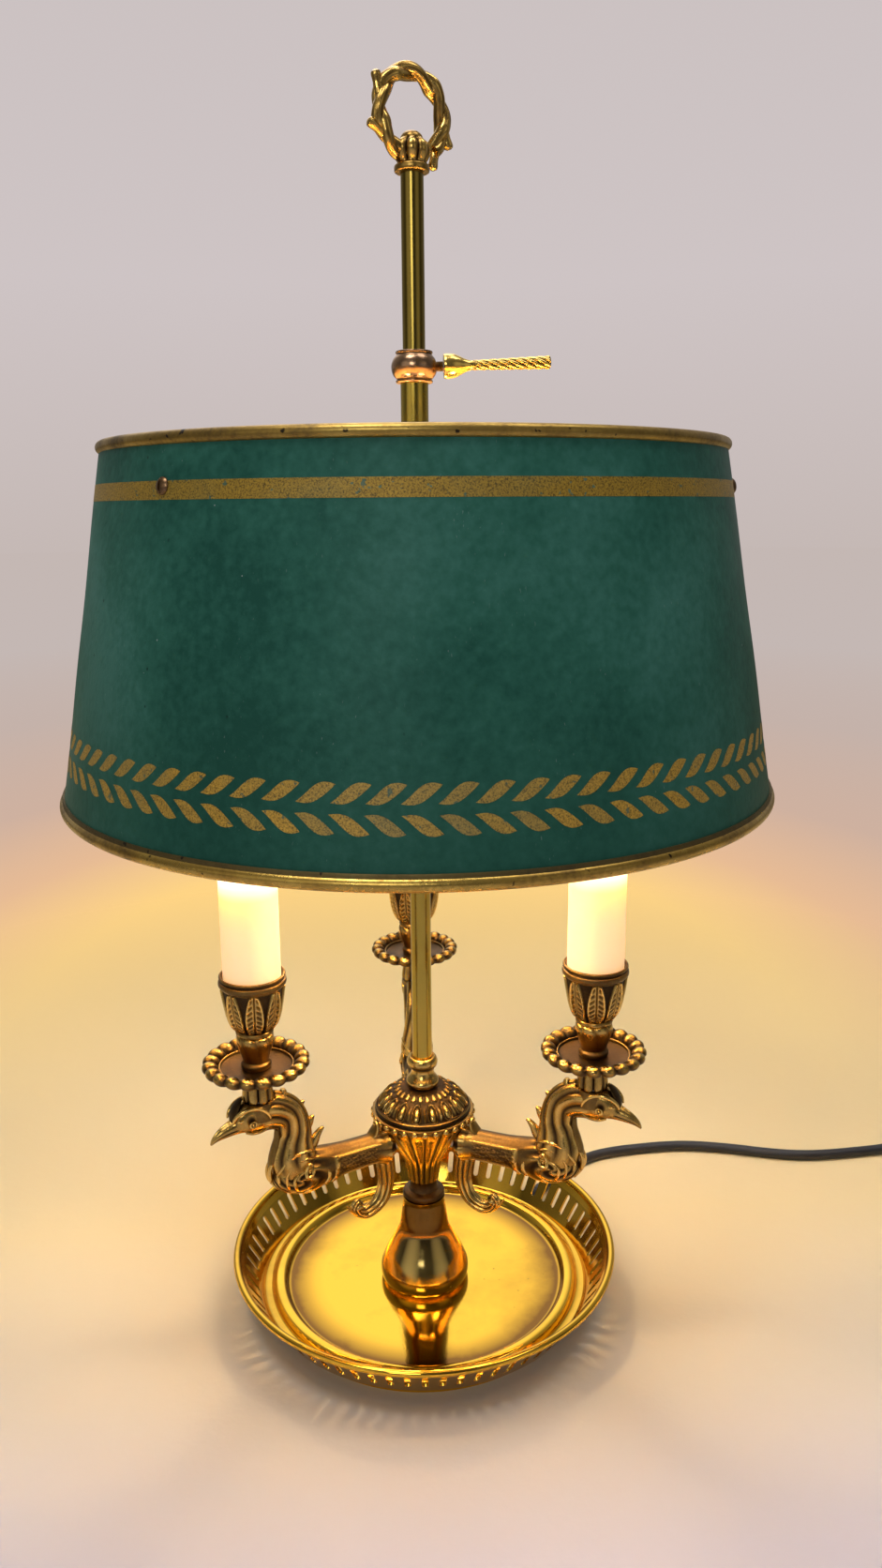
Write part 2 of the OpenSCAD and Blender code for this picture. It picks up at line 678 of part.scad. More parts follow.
module candle_cup(az) {
    z = cup_foot;
    h = candle_h;
    grow = lip_r / 15.5;
    color(antique) at_candle(az) difference() {
        union() {
            turned([
                [0, z], [6.2, z], [6.5, z + h * 0.04], [7.7, z + h * 0.12], [8, z + h * 0.2],
                [7.7, z + h * 0.29], [6.7, z + h * 0.37], [7.6, z + h * 0.4], [7.6, z + h * 0.45],
                [7.2, z + h * 0.465], [0, z + h * 0.465]
            ]);
            loft([for (s = leaf_line) lobed_ring(s[0] * grow, z + s[1] * h, leaf_count, 0.8, 6)]);
            turned([
                [0, z + h * 0.88], [lip_r - 0.7, z + h * 0.88], [lip_r, z + h * 0.9],
                [lip_r, z + h * 0.955], [lip_r - 0.7, z + h * 0.97],
                [lip_r - 0.5, z + h], [0, z + h]
            ]);
        }
        translate([0, 0, z - 1]) cylinder(r = nipple_r + seat_gap, h = h, $fn = fine_fn);
        translate([0, 0, cup_well]) cylinder(r = 10.2, h = h, $fn = fine_fn);
        translate([0, 0, candle_seat]) cylinder(r = sleeve_r + 0.1, h = h, $fn = round_fn);
    }
}

nipple_foot = head_top - 6;
nipple_top = cup_well + 5;
module nipple(az) {
    color(steel) at_candle(az) translate([0, 0, nipple_foot]) pipe(nipple_r, nipple_r - 1.2,
        nipple_top - nipple_foot);
}

// The lampholder: a foot screwed on the nipple, a stem, and the socket for the bulb's cap
module lampholder(az) {
    socket_z = bulb_foot - bulb_cap_len;
    color(white) at_candle(az) difference() {
        union() {
            translate([0, 0, cup_well]) cylinder(r = nipple_r + 3, h = 8, $fn = fine_fn);
            translate([0, 0, cup_well + 7]) cylinder(r = nipple_r + 0.6, h = socket_z - cup_well - 9, $fn = fine_fn);
            translate([0, 0, socket_z - 3]) cylinder(r = holder_r, h = bulb_cap_len + 2.4, $fn = fine_fn);
        }
        translate([0, 0, cup_well - 1]) cylinder(r = nipple_r + seat_gap, h = nipple_top - cup_well + 1, $fn = fine_fn);
        translate([0, 0, socket_z]) cylinder(r = cap_cyl_r + 0.1, h = bulb_cap_len + 2, $fn = fine_fn);
    }
}

module candle_sleeve(az) {
    color(white) at_candle(az) translate([0, 0, candle_seat]) pipe(sleeve_r, sleeve_r - sleeve_wall, sleeve_len);
}

module bulb_cap(az) {
    color(steel) at_candle(az) translate([0, 0, bulb_foot - bulb_cap_len]) {
        cylinder(r = cap_cyl_r, h = bulb_cap_len, $fn = fine_fn);
    }
}

module bulb_glass(az) {
    line = smooth([[cap_cyl_r, 0], [8.2, 0.07], [bulb_r * 0.72, 0.2], [bulb_r, 0.42], [bulb_r * 0.86, 0.62],
        [bulb_r * 0.52, 0.81], [bulb_r * 0.2, 0.94], [0, 1]], 3);
    outline = [for (s = line) [max(s[0], 0), bulb_foot + s[1] * bulb_len]];
    color(white) at_candle(az) turned(concat([[0, bulb_foot]], outline));
}

// ---- Shade -----------------------------------------------------------------------------------------

sheet_width = shade_sheet / cos(shade_angle);
// The spider's flat tabs stand off the curved wall by tab_gap
tab_gap = 0.16;
tab_in = sheet_width + tab_gap;
bottom_rim_in = 1.2;
top_rim_in = 0.8;

// Cross-section of the painted cone, grown by gap
module cone_section(gap) {
    polygon([
        [shade_bottom_r - sheet_width - gap, shade_z - gap], [shade_bottom_r + gap, shade_z - gap],
        [shade_top_r + gap, shade_top + gap], [shade_top_r - sheet_width - gap, shade_top + gap]
    ]);
}

// Puts its children on the outside of the shade at a spider arm, +X along the wall's outward normal
module at_screw(i) {
    rotate([0, 0, spider_az + 120 * i]) translate([screw_out_r, 0, screw_z]) rotate([0, -shade_angle, 0]) children();
}

module shade_cone() {
    color(green) difference() {
        rotate_extrude($fn = 180) cone_section(0);
        for (i = [0:2]) at_screw(i) rotate([0, 90, 0])
            cylinder(r = screw_r + seat_gap, h = 12, center = true, $fn = fine_fn);
    }
}

// Each edge of the cone is wrapped in a rolled rim
module shade_top_rim() {
    color(gold) rotate_extrude($fn = 180) difference() {
        translate([shade_top_r - top_rim_in, shade_top]) circle(r = top_rim_r, $fn = 24);
        cone_section(seat_gap);
    }
}

module shade_bottom_rim() {
    color(gold) rotate_extrude($fn = 180) difference() {
        translate([shade_bottom_r - bottom_rim_in, shade_z]) circle(r = bottom_rim_r, $fn = 24);
        cone_section(seat_gap);
    }
}

module shade_spider() {
    rod_end = screw_out_r - tab_in - tab_t / 2 + screw_rise * shade_slope;
    color(brass) difference() {
        union() {
            translate([0, 0, spider_z - spider_t / 2]) cylinder(r = spider_ring_r, h = spider_t, $fn = fine_fn);
            for (i = [0:2]) {
                rotate([0, 0, spider_az + 120 * i]) translate([spider_ring_r - 2, 0, spider_z]) rotate([0, 90, 0])
                    cylinder(r = spider_rod_r, h = rod_end - spider_ring_r + 2, $fn = 24);
                at_screw(i) translate([-tab_in - tab_t, -5, -9]) cube([tab_t, 10, 14]);
            }
        }
        translate([0, 0, spider_z - spider_t]) cylinder(r = slide_r + run_gap, h = 2 * spider_t, $fn = fine_fn);
        for (i = [0:2]) at_screw(i) rotate([0, 90, 0])
            cylinder(r = screw_r + seat_gap, h = 14, center = true, $fn = fine_fn);
    }
}

// Dome-headed screws from outside, with nuts behind the spider's tabs
module shade_screws() {
    head_r = 3.4;
    color(bronze) for (i = [0:2]) at_screw(i) rotate([0, 90, 0]) {
        translate([0, 0, -5.4]) cylinder(r = screw_r, h = 5.6, $fn = 24);
        translate([0, 0, 0.1]) intersection() {
            translate([0, 0, -2.4]) sphere(r = 4.2, $fn = fine_fn);
            cylinder(r = head_r, h = 3, $fn = fine_fn);
        }
    }
}

module shade_nuts() {
    nut_face = tab_in + tab_t + seat_gap;
    color(steel) for (i = [0:2]) at_screw(i) rotate([0, 90, 0]) translate([0, 0, -nut_face - 2]) difference() {
        cylinder(r = 3.6, h = 2, $fn = 6);
        translate([0, 0, -1]) cylinder(r = screw_r + seat_gap, h = 4, $fn = 24);
    }
}

// ---- Slide and clamp -------------------------------------------------------------------------------

// The sleeve slides on the rod; the spider's ring turns on it between a shoulder and a round nut
module slide_sleeve() {
    foot = spider_z - spider_t / 2 - slide_nut_h;
    color(brass) difference() {
        union() {
            translate([0, 0, foot]) cylinder(r = slide_r, h = ball_z + sleeve_sink - foot, $fn = fine_fn);
            translate([0, 0, spider_z + spider_t / 2 + 0.2]) cylinder(r = slide_r + 2, h = 2, $fn = fine_fn);
        }
        translate([0, 0, foot - 1]) cylinder(r = rod_r + run_gap, h = 100, $fn = fine_fn);
    }
}

module slide_nut() {
    foot = spider_z - spider_t / 2 - slide_nut_h;
    color(brass) difference() {
        union() {
            translate([0, 0, foot]) cylinder(r = slide_r + 3, h = slide_nut_h, $fn = fine_fn);
            translate([0, 0, foot + 1.5]) cylinder(r = slide_r + 4, h = slide_nut_h - 3, $fn = fine_fn);
        }
        translate([0, 0, foot - 1]) cylinder(r = slide_r + seat_gap, h = slide_nut_h + 2, $fn = fine_fn);
    }
}

module key_axis() {
    translate([0, 0, ball_mid]) rotate([0, 90 - key_tilt, 0]) children();
}

module clamp_ball() {
    z = ball_z;
    h = ball_h;
    lip = ball_r * 0.8;
    color(bronze) difference() {
        turned([
            [0, z], [lip - 0.3, z], [lip, z + h * 0.03], [lip, z + h * 0.08], [lip - 0.5, z + h * 0.12],
            [ball_r * 0.9, z + h * 0.24], [ball_r * 0.98, z + h * 0.38], [ball_r, z + h * 0.5],
            [ball_r * 0.98, z + h * 0.62], [ball_r * 0.9, z + h * 0.76], [lip - 0.3, z + h * 0.9],
            [lip, z + h * 0.93], [lip, z + h * 0.97], [lip - 0.4, z + h], [0, z + h]
        ]);
        translate([0, 0, z - 1]) cylinder(r = rod_r + run_gap, h = h + 2, $fn = fine_fn);
        translate([0, 0, z - 1]) cylinder(r = slide_r + seat_gap, h = sleeve_sink + 1, $fn = fine_fn);
        key_axis() cylinder(r = thread_r + run_gap, h = 20, $fn = 32);
    }
}

// The clamping key: a thread against the rod, a round cup and a rope-twisted stem
module clamp_key() {
    stem_from = key_start + key_cone_len + 1.6;
    cup = [
        [0, key_start], [key_cup_r - 0.5, key_start], [key_cup_r, key_start + 0.6],
        [key_cup_r, key_start + 3.2], [key_cup_r * 0.92, key_start + 5.2], [key_cup_r * 0.74, key_start + 7.4],
        [key_cup_r * 0.52, key_start + 9.4], [stem_r * 0.72, key_start + key_cone_len],
        [stem_r * 0.7, stem_from + 2], [0, stem_from + 2]
    ];
    color(brass) key_axis() {
        translate([0, 0, rod_r + 0.15]) cylinder(r = thread_r, h = key_start - rod_r, $fn = 32);
        turned(cup);
        translate([0, 0, stem_from]) linear_extrude(key_end - stem_from, twist = -700, slices = 30,
            scale = 1 / 0.78)
            polygon([for (k = [0:14]) let (q = stem_r * 0.78 * (k % 3 == 0 ? 1 : 0.8))
                [q * cos(24 * k), q * sin(24 * k)]]);
    }
}

// ---- Finial ----------------------------------------------------------------------------------------

bud_rib_r = 2.4;
bud_line = [
    [0, bud_z], [7, bud_z], [7.6, bud_z + 0.6], [7.6, bud_z + 2.6], [6.9, bud_z + 3.4], [6.7, bud_z + 4.6],
    [6.9, bud_z + bud_h * 0.38], [7.1, bud_z + bud_h * 0.56], [6.2, bud_z + bud_h * 0.74],
    [4.4, bud_z + bud_h * 0.8], [4.2, bud_z + bud_h * 0.9], [2.6, bud_z + bud_h * 0.98], [0, bud_z + bud_h]
];

module bud_ribs(grow) {
    for (i = [0:rib_count - 1]) rotate([0, 0, 360 * i / rib_count])
        translate([5.2, 0, bud_z + bud_h * 0.52]) sphere(r = bud_rib_r + grow, $fn = 24);
}

module finial_bud() {
    color(antique) difference() {
        union() {
            turned(bud_line);
            bud_ribs(0);
        }
        translate([0, 0, bud_z - 1]) cylinder(r = rod_r + seat_gap, h = rod_top - bud_z + 1, $fn = fine_fn);
    }
}

// Two strands twist about a round core line; ring_point gives strand s at turn angle a
strand_off = 1.5;
ring_core = ring_h / 2 - strand_r - strand_off;
twists = 4;
strand_steps = 44;
function ring_point(a, s) = let (q = ring_core + strand_off * cos(twists * a + 180 * s))
    [q * cos(a), strand_off * sin(twists * a + 180 * s), q * sin(a)];
module closed_strand(s) {
    n = 8;
    m = strand_steps;
    points = [for (i = [0:m - 1]) let (a = 360 * i / m, c = ring_point(a, s), out = [cos(a), 0, sin(a)])
        for (k = [0:n - 1]) c + strand_r * (cos(45 * k) * out + sin(45 * k) * [0, 1, 0])];
    faces = [for (i = [0:m - 1]) for (j = [0:n - 1])
        let (a = i * n + j, b = i * n + (j + 1) % n, c = ((i + 1) % m) * n + j, d = ((i + 1) % m) * n + (j + 1) % n)
        each [[a, c, b], [b, c, d]]];
    polyhedron(points = points, faces = faces, convexity = 8);
}

twig_angles = [150, 202, 340, 306];
module finial_ring() {
    color(antique) difference() {
        translate([0, 0, ring_mid]) rotate([0, 0, ring_az]) rotate([0, -ring_lean, 0]) {
            closed_strand(0);
            closed_strand(1);
            for (a = twig_angles) rotate([0, -a, 0]) translate([ring_core + 1, 0, 0]) rotate([0, 62, 0]) {
                cylinder(r1 = 2, r2 = 1.6, h = 8.4, $fn = 20);
                translate([0, 0, 8.2]) sphere(r = 2, $fn = 20);
            }
        }
        translate([0, 0, bud_z - 1]) cylinder(r = 7.65, h = bud_h * 0.76 + 1, $fn = fine_fn);
        translate([0, 0, bud_z]) cylinder(r = 5, h = bud_h + 0.3, $fn = fine_fn);
    }
}

// ---- Cord, switch and plug -------------------------------------------------------------------------

// The rubber relief tapers and sinks from the hoop to the table
module cord_relief() {
    steps = [for (i = [0:10]) let (d = relief_from + (relief_to - relief_from) * i / 10, q = i / 10,
        r = relief_r + (cord_r + 0.35 - relief_r) * q)
        [d * cos(exit_az), d * sin(exit_az), r + 0.05]];
    color(black) difference() {
        loft([for (i = [0:10]) tube_ring(steps[i], tangent(steps, i), steps[i][2] - 0.05, 12)]);
        translate(steps[10]) rotate([0, 0, exit_az]) translate([-20, 0, cord_lie - steps[10][2]]) rotate([0, 90, 0])
            cylinder(r = cord_r + 0.02, h = 22, $fn = fine_fn);
    }
}

relief_grip = [(relief_to - 19.5) * cos(exit_az), (relief_to - 19.5) * sin(exit_az), cord_lie];
switch_in = [switch_at[0], switch_at[1], switch_mid];
switch_out = [switch_at[0] + switch_len, switch_at[1], switch_mid];
coil_in_end = [[coil_side, 78, coil_low], [coil_side, 64, coil_low], [coil_side, 50, coil_low]];
plug_in = [[plug_x, plug_at[1] + 16, plug_h / 2], [plug_x, plug_at[1] + 12, plug_h / 2]];

module cord() {
    color(black) {
        loft(tube_rings(concat([relief_grip, relief_end], route_out, [switch_in]), cord_r, 8));
        loft(tube_rings(concat([switch_out], route_in, coil_in_end), cord_r, 8));
        loft(tube_rings(concat(route_plug, plug_in), cord_r, 8));
    }
}

module cord_coil() {
    color(black) translate([coil_at[0], coil_at[1], coil_lift]) rotate_extrude($fn = round_fn)
        translate([coil_in, 0]) square([coil_out - coil_in, coil_h]);
}

module coil_tie() {
    band_t = 0.8;
    band_w = 9;
    color(black) translate([coil_at[0] - coil_r, coil_at[1], coil_lift + coil_h / 2]) difference() {
        cube([coil_out - coil_in + 2 * band_t + 1, band_w, coil_h + 2 * band_t], center = true);
        cube([coil_out - coil_in + 1, band_w + 2, coil_h + 0.05], center = true);
    }
}

rocker_r = 7;
rocker_w = 9;
rocker_z = 8.4;
rocker_tilt = 7;
axle_r = 1.2;
module switch_body() {
    mid = switch_at[0] + switch_len / 2;
    color(black) difference() {
        union() {
            translate([mid, switch_at[1], 0]) linear_extrude(switch_h) hull() {
                for (s = [-1, 1]) translate([s * (switch_len / 2 - switch_w * 0.32 - 6), 0])
                    circle(r = switch_w * 0.32, $fn = 32);
                circle(r = switch_w / 2, $fn = 32);
            }
            for (s = [0, 1]) translate([switch_at[0] + s * (switch_len - 8), switch_at[1], switch_mid]) rotate([0, 90, 0])
                cylinder(r = 4.6, h = 8, $fn = 24);
        }
        translate([mid, switch_at[1], rocker_z]) rotate([90, 0, 0])
            cylinder(r = rocker_r + 0.3, h = rocker_w + 0.6, center = true, $fn = fine_fn);
        translate([mid, switch_at[1], rocker_z]) rotate([90, 0, 0])
            cylinder(r = axle_r + run_gap, h = rocker_w + 5, center = true, $fn = 32);
        translate([mid, switch_at[1], switch_h + 2]) cube([2 * rocker_r - 1, rocker_w + 0.6, 6], center = true);
    }
}

// The rocker lies over to its ON side; its axle turns in the body's side walls
module switch_rocker() {
    mid = switch_at[0] + switch_len / 2;
    color(black) translate([mid, switch_at[1], rocker_z]) {
        rotate([0, -rocker_tilt, 0]) difference() {
            rotate([90, 0, 0]) cylinder(r = rocker_r, h = rocker_w, center = true, $fn = fine_fn);
            for (s = [-1, 1]) rotate([0, s * rocker_tilt, 0]) translate([s * 10, 0, rocker_r])
                cube([20, rocker_w + 1, 2.6], center = true);
        }
        rotate([90, 0, 0]) cylinder(r = axle_r, h = rocker_w + 4.4, center = true, $fn = 32);
    }
}

module plug_body() {
    z = plug_h / 2;
    color(black) translate([plug_at[0], plug_at[1], z]) rotate([90, 0, 0]) difference() {
        loft([for (s = [[-12, 4.2, 4.2], [-8, 4.6, 4.6], [0, 6.4, 6], [4, 9.6, 6.8], [10, 12.2, 7.2],
            [plug_len - 8, plug_w / 2, 7.2], [plug_len - 1, plug_w / 2, 7], [plug_len, plug_w / 2 - 1, 6.2]])
            [for (k = [0:19]) let (c = cos(18 * k), q = -sin(18 * k))
                [s[1] * sign(c) * pow(abs(c), 0.7), s[2] * sign(q) * pow(abs(q), 0.7), s[0]]]]);
        for (x = [-1, 1]) translate([x * 9.3, 0, plug_len - 8]) cylinder(r = 2.05, h = 10, $fn = 32);
    }
}

module plug_pins() {
    color(steel) translate([plug_at[0], plug_at[1], plug_h / 2]) rotate([90, 0, 0])
        for (x = [-1, 1]) translate([x * 9.3, 0, plug_len - 8]) cylinder(r = 2, h = 27, $fn = 32);
}

tray();
foot_hoop();
base_nut();
base_washer();
tie_tube();
bell_foot();
disc_collar();
hub_cup();
bead_ring();
hub_cap();
rod_collar();
rod();
arm_screws();
arm(az_rear);  // arm_rear
arm(az_left);  // arm_left
arm(az_right);  // arm_right
stub(az_rear);  // stub_rear
stub(az_left);  // stub_left
stub(az_right);  // stub_right
drip_pan(az_rear);  // drip_pan_rear
drip_pan(az_left);  // drip_pan_left
drip_pan(az_right);  // drip_pan_right
candle_cup(az_rear);  // candle_cup_rear
candle_cup(az_left);  // candle_cup_left
candle_cup(az_right);  // candle_cup_right
nipple(az_rear);  // nipple_rear
nipple(az_left);  // nipple_left
nipple(az_right);  // nipple_right
lampholder(az_rear);  // lampholder_rear
lampholder(az_left);  // lampholder_left
lampholder(az_right);  // lampholder_right
candle_sleeve(az_rear);  // candle_sleeve_rear
candle_sleeve(az_left);  // candle_sleeve_left
candle_sleeve(az_right);  // candle_sleeve_right
bulb_cap(az_rear);  // bulb_cap_rear
bulb_cap(az_left);  // bulb_cap_left
bulb_cap(az_right);  // bulb_cap_right
bulb_glass(az_rear);  // bulb_glass_rear
bulb_glass(az_left);  // bulb_glass_left
bulb_glass(az_right);  // bulb_glass_right
shade_cone();
shade_top_rim();
shade_bottom_rim();
shade_spider();
shade_screws();
shade_nuts();
slide_sleeve();
slide_nut();
clamp_ball();
clamp_key();
finial_bud();
finial_ring();
cord_relief();
cord();
cord_coil();
coil_tie();
switch_body();
switch_rocker();
plug_body();
plug_pins();
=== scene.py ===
"""Looks for a bouillotte lamp: dished brass base, bird-headed candle arms and a painted metal shade."""

import logging
import math
from dataclasses import dataclass, field
from enum import Enum
from typing import Any, Callable, ClassVar, Sequence

import bmesh
import bpy
import numpy as np
from mathutils import Matrix, Vector


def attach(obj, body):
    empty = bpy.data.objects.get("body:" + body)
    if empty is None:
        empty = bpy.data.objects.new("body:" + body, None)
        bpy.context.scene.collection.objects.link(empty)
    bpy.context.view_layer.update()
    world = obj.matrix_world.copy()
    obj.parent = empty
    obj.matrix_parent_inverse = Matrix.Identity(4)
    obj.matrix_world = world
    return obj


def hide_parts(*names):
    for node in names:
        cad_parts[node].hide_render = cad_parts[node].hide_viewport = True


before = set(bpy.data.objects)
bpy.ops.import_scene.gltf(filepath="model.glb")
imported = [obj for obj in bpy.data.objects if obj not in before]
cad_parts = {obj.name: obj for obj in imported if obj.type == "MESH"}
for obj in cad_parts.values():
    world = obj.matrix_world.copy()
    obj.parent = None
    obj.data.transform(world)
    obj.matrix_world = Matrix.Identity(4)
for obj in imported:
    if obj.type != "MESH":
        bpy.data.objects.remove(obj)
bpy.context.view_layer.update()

LOG = logging.getLogger("lamp")
Array = np.ndarray
Colour = tuple[float, float, float]
Table = tuple[tuple[float, ...], ...]
Rise = tuple[Array, Array]
Relief = Callable[[Array, Array], Rise]
Socket = bpy.types.NodeSocket
Material = bpy.types.Material
MM = 0.001
TAU = 2.0 * math.pi
WORN = 0.35  # tarnish of a plain surface
SAME_PLACE = 1e-7  # metres within which doubled points are merged
THINNEST = 0.05  # millimetres that a carved limb keeps at least
SIDEWAYS = (0, 1, 0)
REACH = 91.2  # millimetres from the column to a candle's axis
HORIZON: Colour = (0.553, 0.478, 0.455)


class Body(str, Enum):
    """The rigid bodies that a piece can move with."""

    LAMP = "lamp"
    CLAMP = "clamp"
    SHADE = "shade"
    KEY = "key"
    ROCKER = "rocker"


class Side(Enum):
    """The three arms, with the direction of each in degrees."""

    REAR = 90.0
    LEFT = 210.0
    RIGHT = 330.0

    @property
    def tag(self) -> str:
        """The arm's name in lower case."""
        return self.name.lower()


# ---- Numbers on curves ------------------------------------------------------------------------------


def flow(points: Sequence[Sequence[float]], steps: int) -> Array:
    """A smooth line through points: each span is the cubic whose end slopes are half the step between
    the neighbours on either side (a Catmull-Rom span).

    Args:
        points: Rows of numbers, of any width.
        steps: Samples in each span.

    Returns:
        The samples, with the last point included.
    """
    p = np.asarray(points, float)
    q = np.vstack([p[:1], p, p[-1:]])
    t = (np.arange(steps) / steps)[None, :, None]
    a, b, c, d = (q[i : len(q) - 3 + i][:, None, :] for i in range(4))
    spans = 0.5 * (2 * b + (c - a) * t + (2 * a - 5 * b + 4 * c - d) * t**2 + (3 * b - a - 3 * c + d) * t**3)
    return np.vstack([spans.reshape(-1, p.shape[1]), p[-1:]])


def ease(x: Array | float, low: float, high: float) -> Array:
    """Zero below low, one above high, and 3t^2 - 2t^3 between them."""
    t = np.clip((np.asarray(x, float) - low) / (high - low), 0.0, 1.0)
    return t * t * (3 - 2 * t)


def bump(x: Array | float, middle: float, half: float) -> Array:
    """One at middle, falling to zero half away on either side as 1 + cos."""
    d = np.clip(np.abs(np.asarray(x, float) - middle) / half, 0.0, 1.0)
    return 0.5 + 0.5 * np.cos(np.pi * d)


def unit(v: Array) -> Array:
    """The rows of v at length one."""
    return v / np.maximum(np.linalg.norm(v, axis=-1, keepdims=True), 1e-12)


def slopes(points: Array, loop: bool = False) -> Array:
    """Directions along a line of points, each from the neighbours on either side."""
    return unit(np.roll(points, -1, 0) - np.roll(points, 1, 0) if loop else np.gradient(points, axis=0))


def outward(profile: Array, loop: bool = False) -> Array:
    """Normals of a profile: its directions turned clockwise by a right angle."""
    d = slopes(profile, loop)
    return stack(d[:, 1], -d[:, 0])


def around(sides: int) -> Array:
    """Equal steps of angle once round from zero, in radians."""
    return TAU * np.arange(sides) / sides


def stack(*values: Array | float) -> Array:
    """Values side by side on a new last axis, each spread to the widest shape."""
    return np.stack(np.broadcast_arrays(*values), -1)


def squared(wave: Array, power: float) -> Array:
    """A sine or cosine raised to a power with its sign kept, which squares the corners of a circle."""
    return np.sign(wave) * np.abs(wave) ** power


def swing(one: Array, two: Array, angle: float) -> tuple[Array, Array]:
    """Two coordinates turned in their plane by an angle in radians, the first towards the second."""
    c, s = math.cos(angle), math.sin(angle)
    return one * c - two * s, one * s + two * c


def turn_z(points: Array, degrees: float) -> Array:
    """Points turned about +Z by an angle in degrees."""
    a = math.radians(degrees)
    spin = np.array([[math.cos(a), -math.sin(a), 0], [math.sin(a), math.cos(a), 0], [0, 0, 1]])
    return points @ spin.T


def lattice(n: int, m: int, loop: bool = False, round_m: bool = True) -> Array:
    """Quads between neighbouring points of a grid that is numbered row by row.

    Args:
        n: Rows.
        m: Points in a row.
        loop: The last row joins the first.
        round_m: The last point of a row joins its first.

    Returns:
        Four point numbers for each quad.
    """
    i, j = np.meshgrid(np.arange(n if loop else n - 1), np.arange(m if round_m else m - 1), indexing="ij")
    below, beside = (i + 1) % n, (j + 1) % m
    return stack(i * m + j, i * m + beside, below * m + beside, below * m + j).reshape(-1, 4)


def texture(relief: Relief | None, sides: int, count: int, age: float) -> tuple[Array, Array, Array]:
    """The grid of angles of a skin, with the rise and tarnish that its relief gives there.

    Args:
        relief: Takes the angle and the position along (0 to 1) as grids, or None for a plain skin.
        sides: Steps round the section.
        count: Sections along the skin.
        age: Tarnish where there is no relief.

    Returns:
        The angles, the rise in millimetres and the tarnish.
    """
    a, along = np.meshgrid(around(sides), np.linspace(0, 1, count), indexing="xy")
    rise, tarnish = relief(a, along) if relief else (np.zeros_like(a), np.full_like(a, age))
    return a, rise, tarnish


def tarnish_and_painted_shade(first: float, more: float, start: float, end: float) -> Relief:
    """A relief without rise: a tarnish of first, with painted shade that adds more between two positions."""
    return lambda a, t: (np.zeros_like(t), first + more * ease(t, start, end))


# ---- Skins ------------------------------------------------------------------------------------------


@dataclass
class Skin:
    """Closed surfaces in millimetres, with a tarnish value from 0 (rubbed) to 1 (dark) at each vertex."""

    points: Array
    quads: Array
    age: Array

    @classmethod
    def grid(cls, rows: Array, age: Array | float = WORN, loop: bool = False) -> "Skin":
        """Quads between neighbouring rows of a grid whose columns go round.

        Args:
            rows: Points of shape (rows, columns, 3).
            age: Tarnish, for all or for each point.
            loop: The last row joins the first; otherwise both ends are closed at their middles.

        Returns:
            A closed skin that faces outwards.
        """
        tarnish = np.broadcast_to(np.asarray(age, float), rows.shape[:2])
        if not loop:
            ends = [np.broadcast_to(r.mean(0), r.shape)[None] for r in (rows[0], rows[-1])]
            rows = np.concatenate([ends[0], rows, ends[1]])
            tarnish = np.vstack([tarnish[:1], tarnish, tarnish[-1:]])
        n, m = rows.shape[:2]
        skin = cls(rows.reshape(-1, 3).astype(float), lattice(n, m, loop), tarnish.reshape(-1).copy())
        return skin if skin.volume() > 0 else cls(skin.points, skin.quads[:, ::-1].copy(), skin.age)

    def volume(self) -> float:
        """Signed volume inside the skin, from the tetrahedra that its triangles make with the origin."""
        p = self.points - self.points.mean(0)
        a, b, c, d = (p[self.quads[:, k]] for k in range(4))
        return float(np.einsum("ij,ij->", a, np.cross(b, c)) + np.einsum("ij,ij->", a, np.cross(c, d)))

    def moved(self, shift: Sequence[float] = (0, 0, 0), degrees: float = 0.0) -> "Skin":
        """The skin shifted, then turned about +Z."""
        return Skin(turn_z(self.points + np.asarray(shift, float), degrees), self.quads, self.age)

    @staticmethod
    def join(parts: Sequence["Skin"]) -> "Skin":
        """All parts as one skin."""
        starts = np.cumsum([0] + [len(p.points) for p in parts[:-1]])
        return Skin(
            np.vstack([p.points for p in parts]),
            np.vstack([p.quads + s for p, s in zip(parts, starts)]),
            np.concatenate([p.age for p in parts]),
        )

    def mesh(self, name: str) -> bpy.types.Mesh:
        """The skin as a mesh in metres, with the doubled points of seams and poles merged."""
        mesh = bpy.data.meshes.new(name)
        mesh.from_pydata((self.points * MM).tolist(), [], self.quads.tolist())
        mesh.attributes.new("age", "FLOAT", "POINT").data.foreach_set("value", self.age.astype(np.float32))
        work = bmesh.new()
        work.from_mesh(mesh)
        bmesh.ops.remove_doubles(work, verts=work.verts, dist=SAME_PLACE)
        work.to_mesh(mesh)
        work.free()
        return mesh


def revolve(profile: Sequence[Sequence[float]], sides: int = 128, relief: Relief | None = None,
            age: float = WORN, loop: bool = False) -> Skin:
    """A profile of (radius, height) carried round +Z. Relief moves each point along the profile's outward
    normal, which is the profile's direction turned clockwise by a right angle.

    Args:
        profile: The outline, with the outside running upwards.
        sides: Steps round the axis.
        relief: Takes the angle and the profile position (0 to 1) as grids and gives the rise in
            millimetres and the tarnish.
        age: Tarnish where there is no relief.
        loop: The outline is closed, as for a ring.

    Returns:
        The skin.
    """
    p = np.asarray(profile, float)
    normal = outward(p, loop)
    theta, rise, tarnish = texture(relief, sides, len(p), age)
    r = np.maximum(p[:, :1] + normal[:, :1] * rise, 0.0)
    z = p[:, 1:] + normal[:, 1:] * rise
    return Skin.grid(stack(r * np.cos(theta), r * np.sin(theta), z), tarnish, loop)


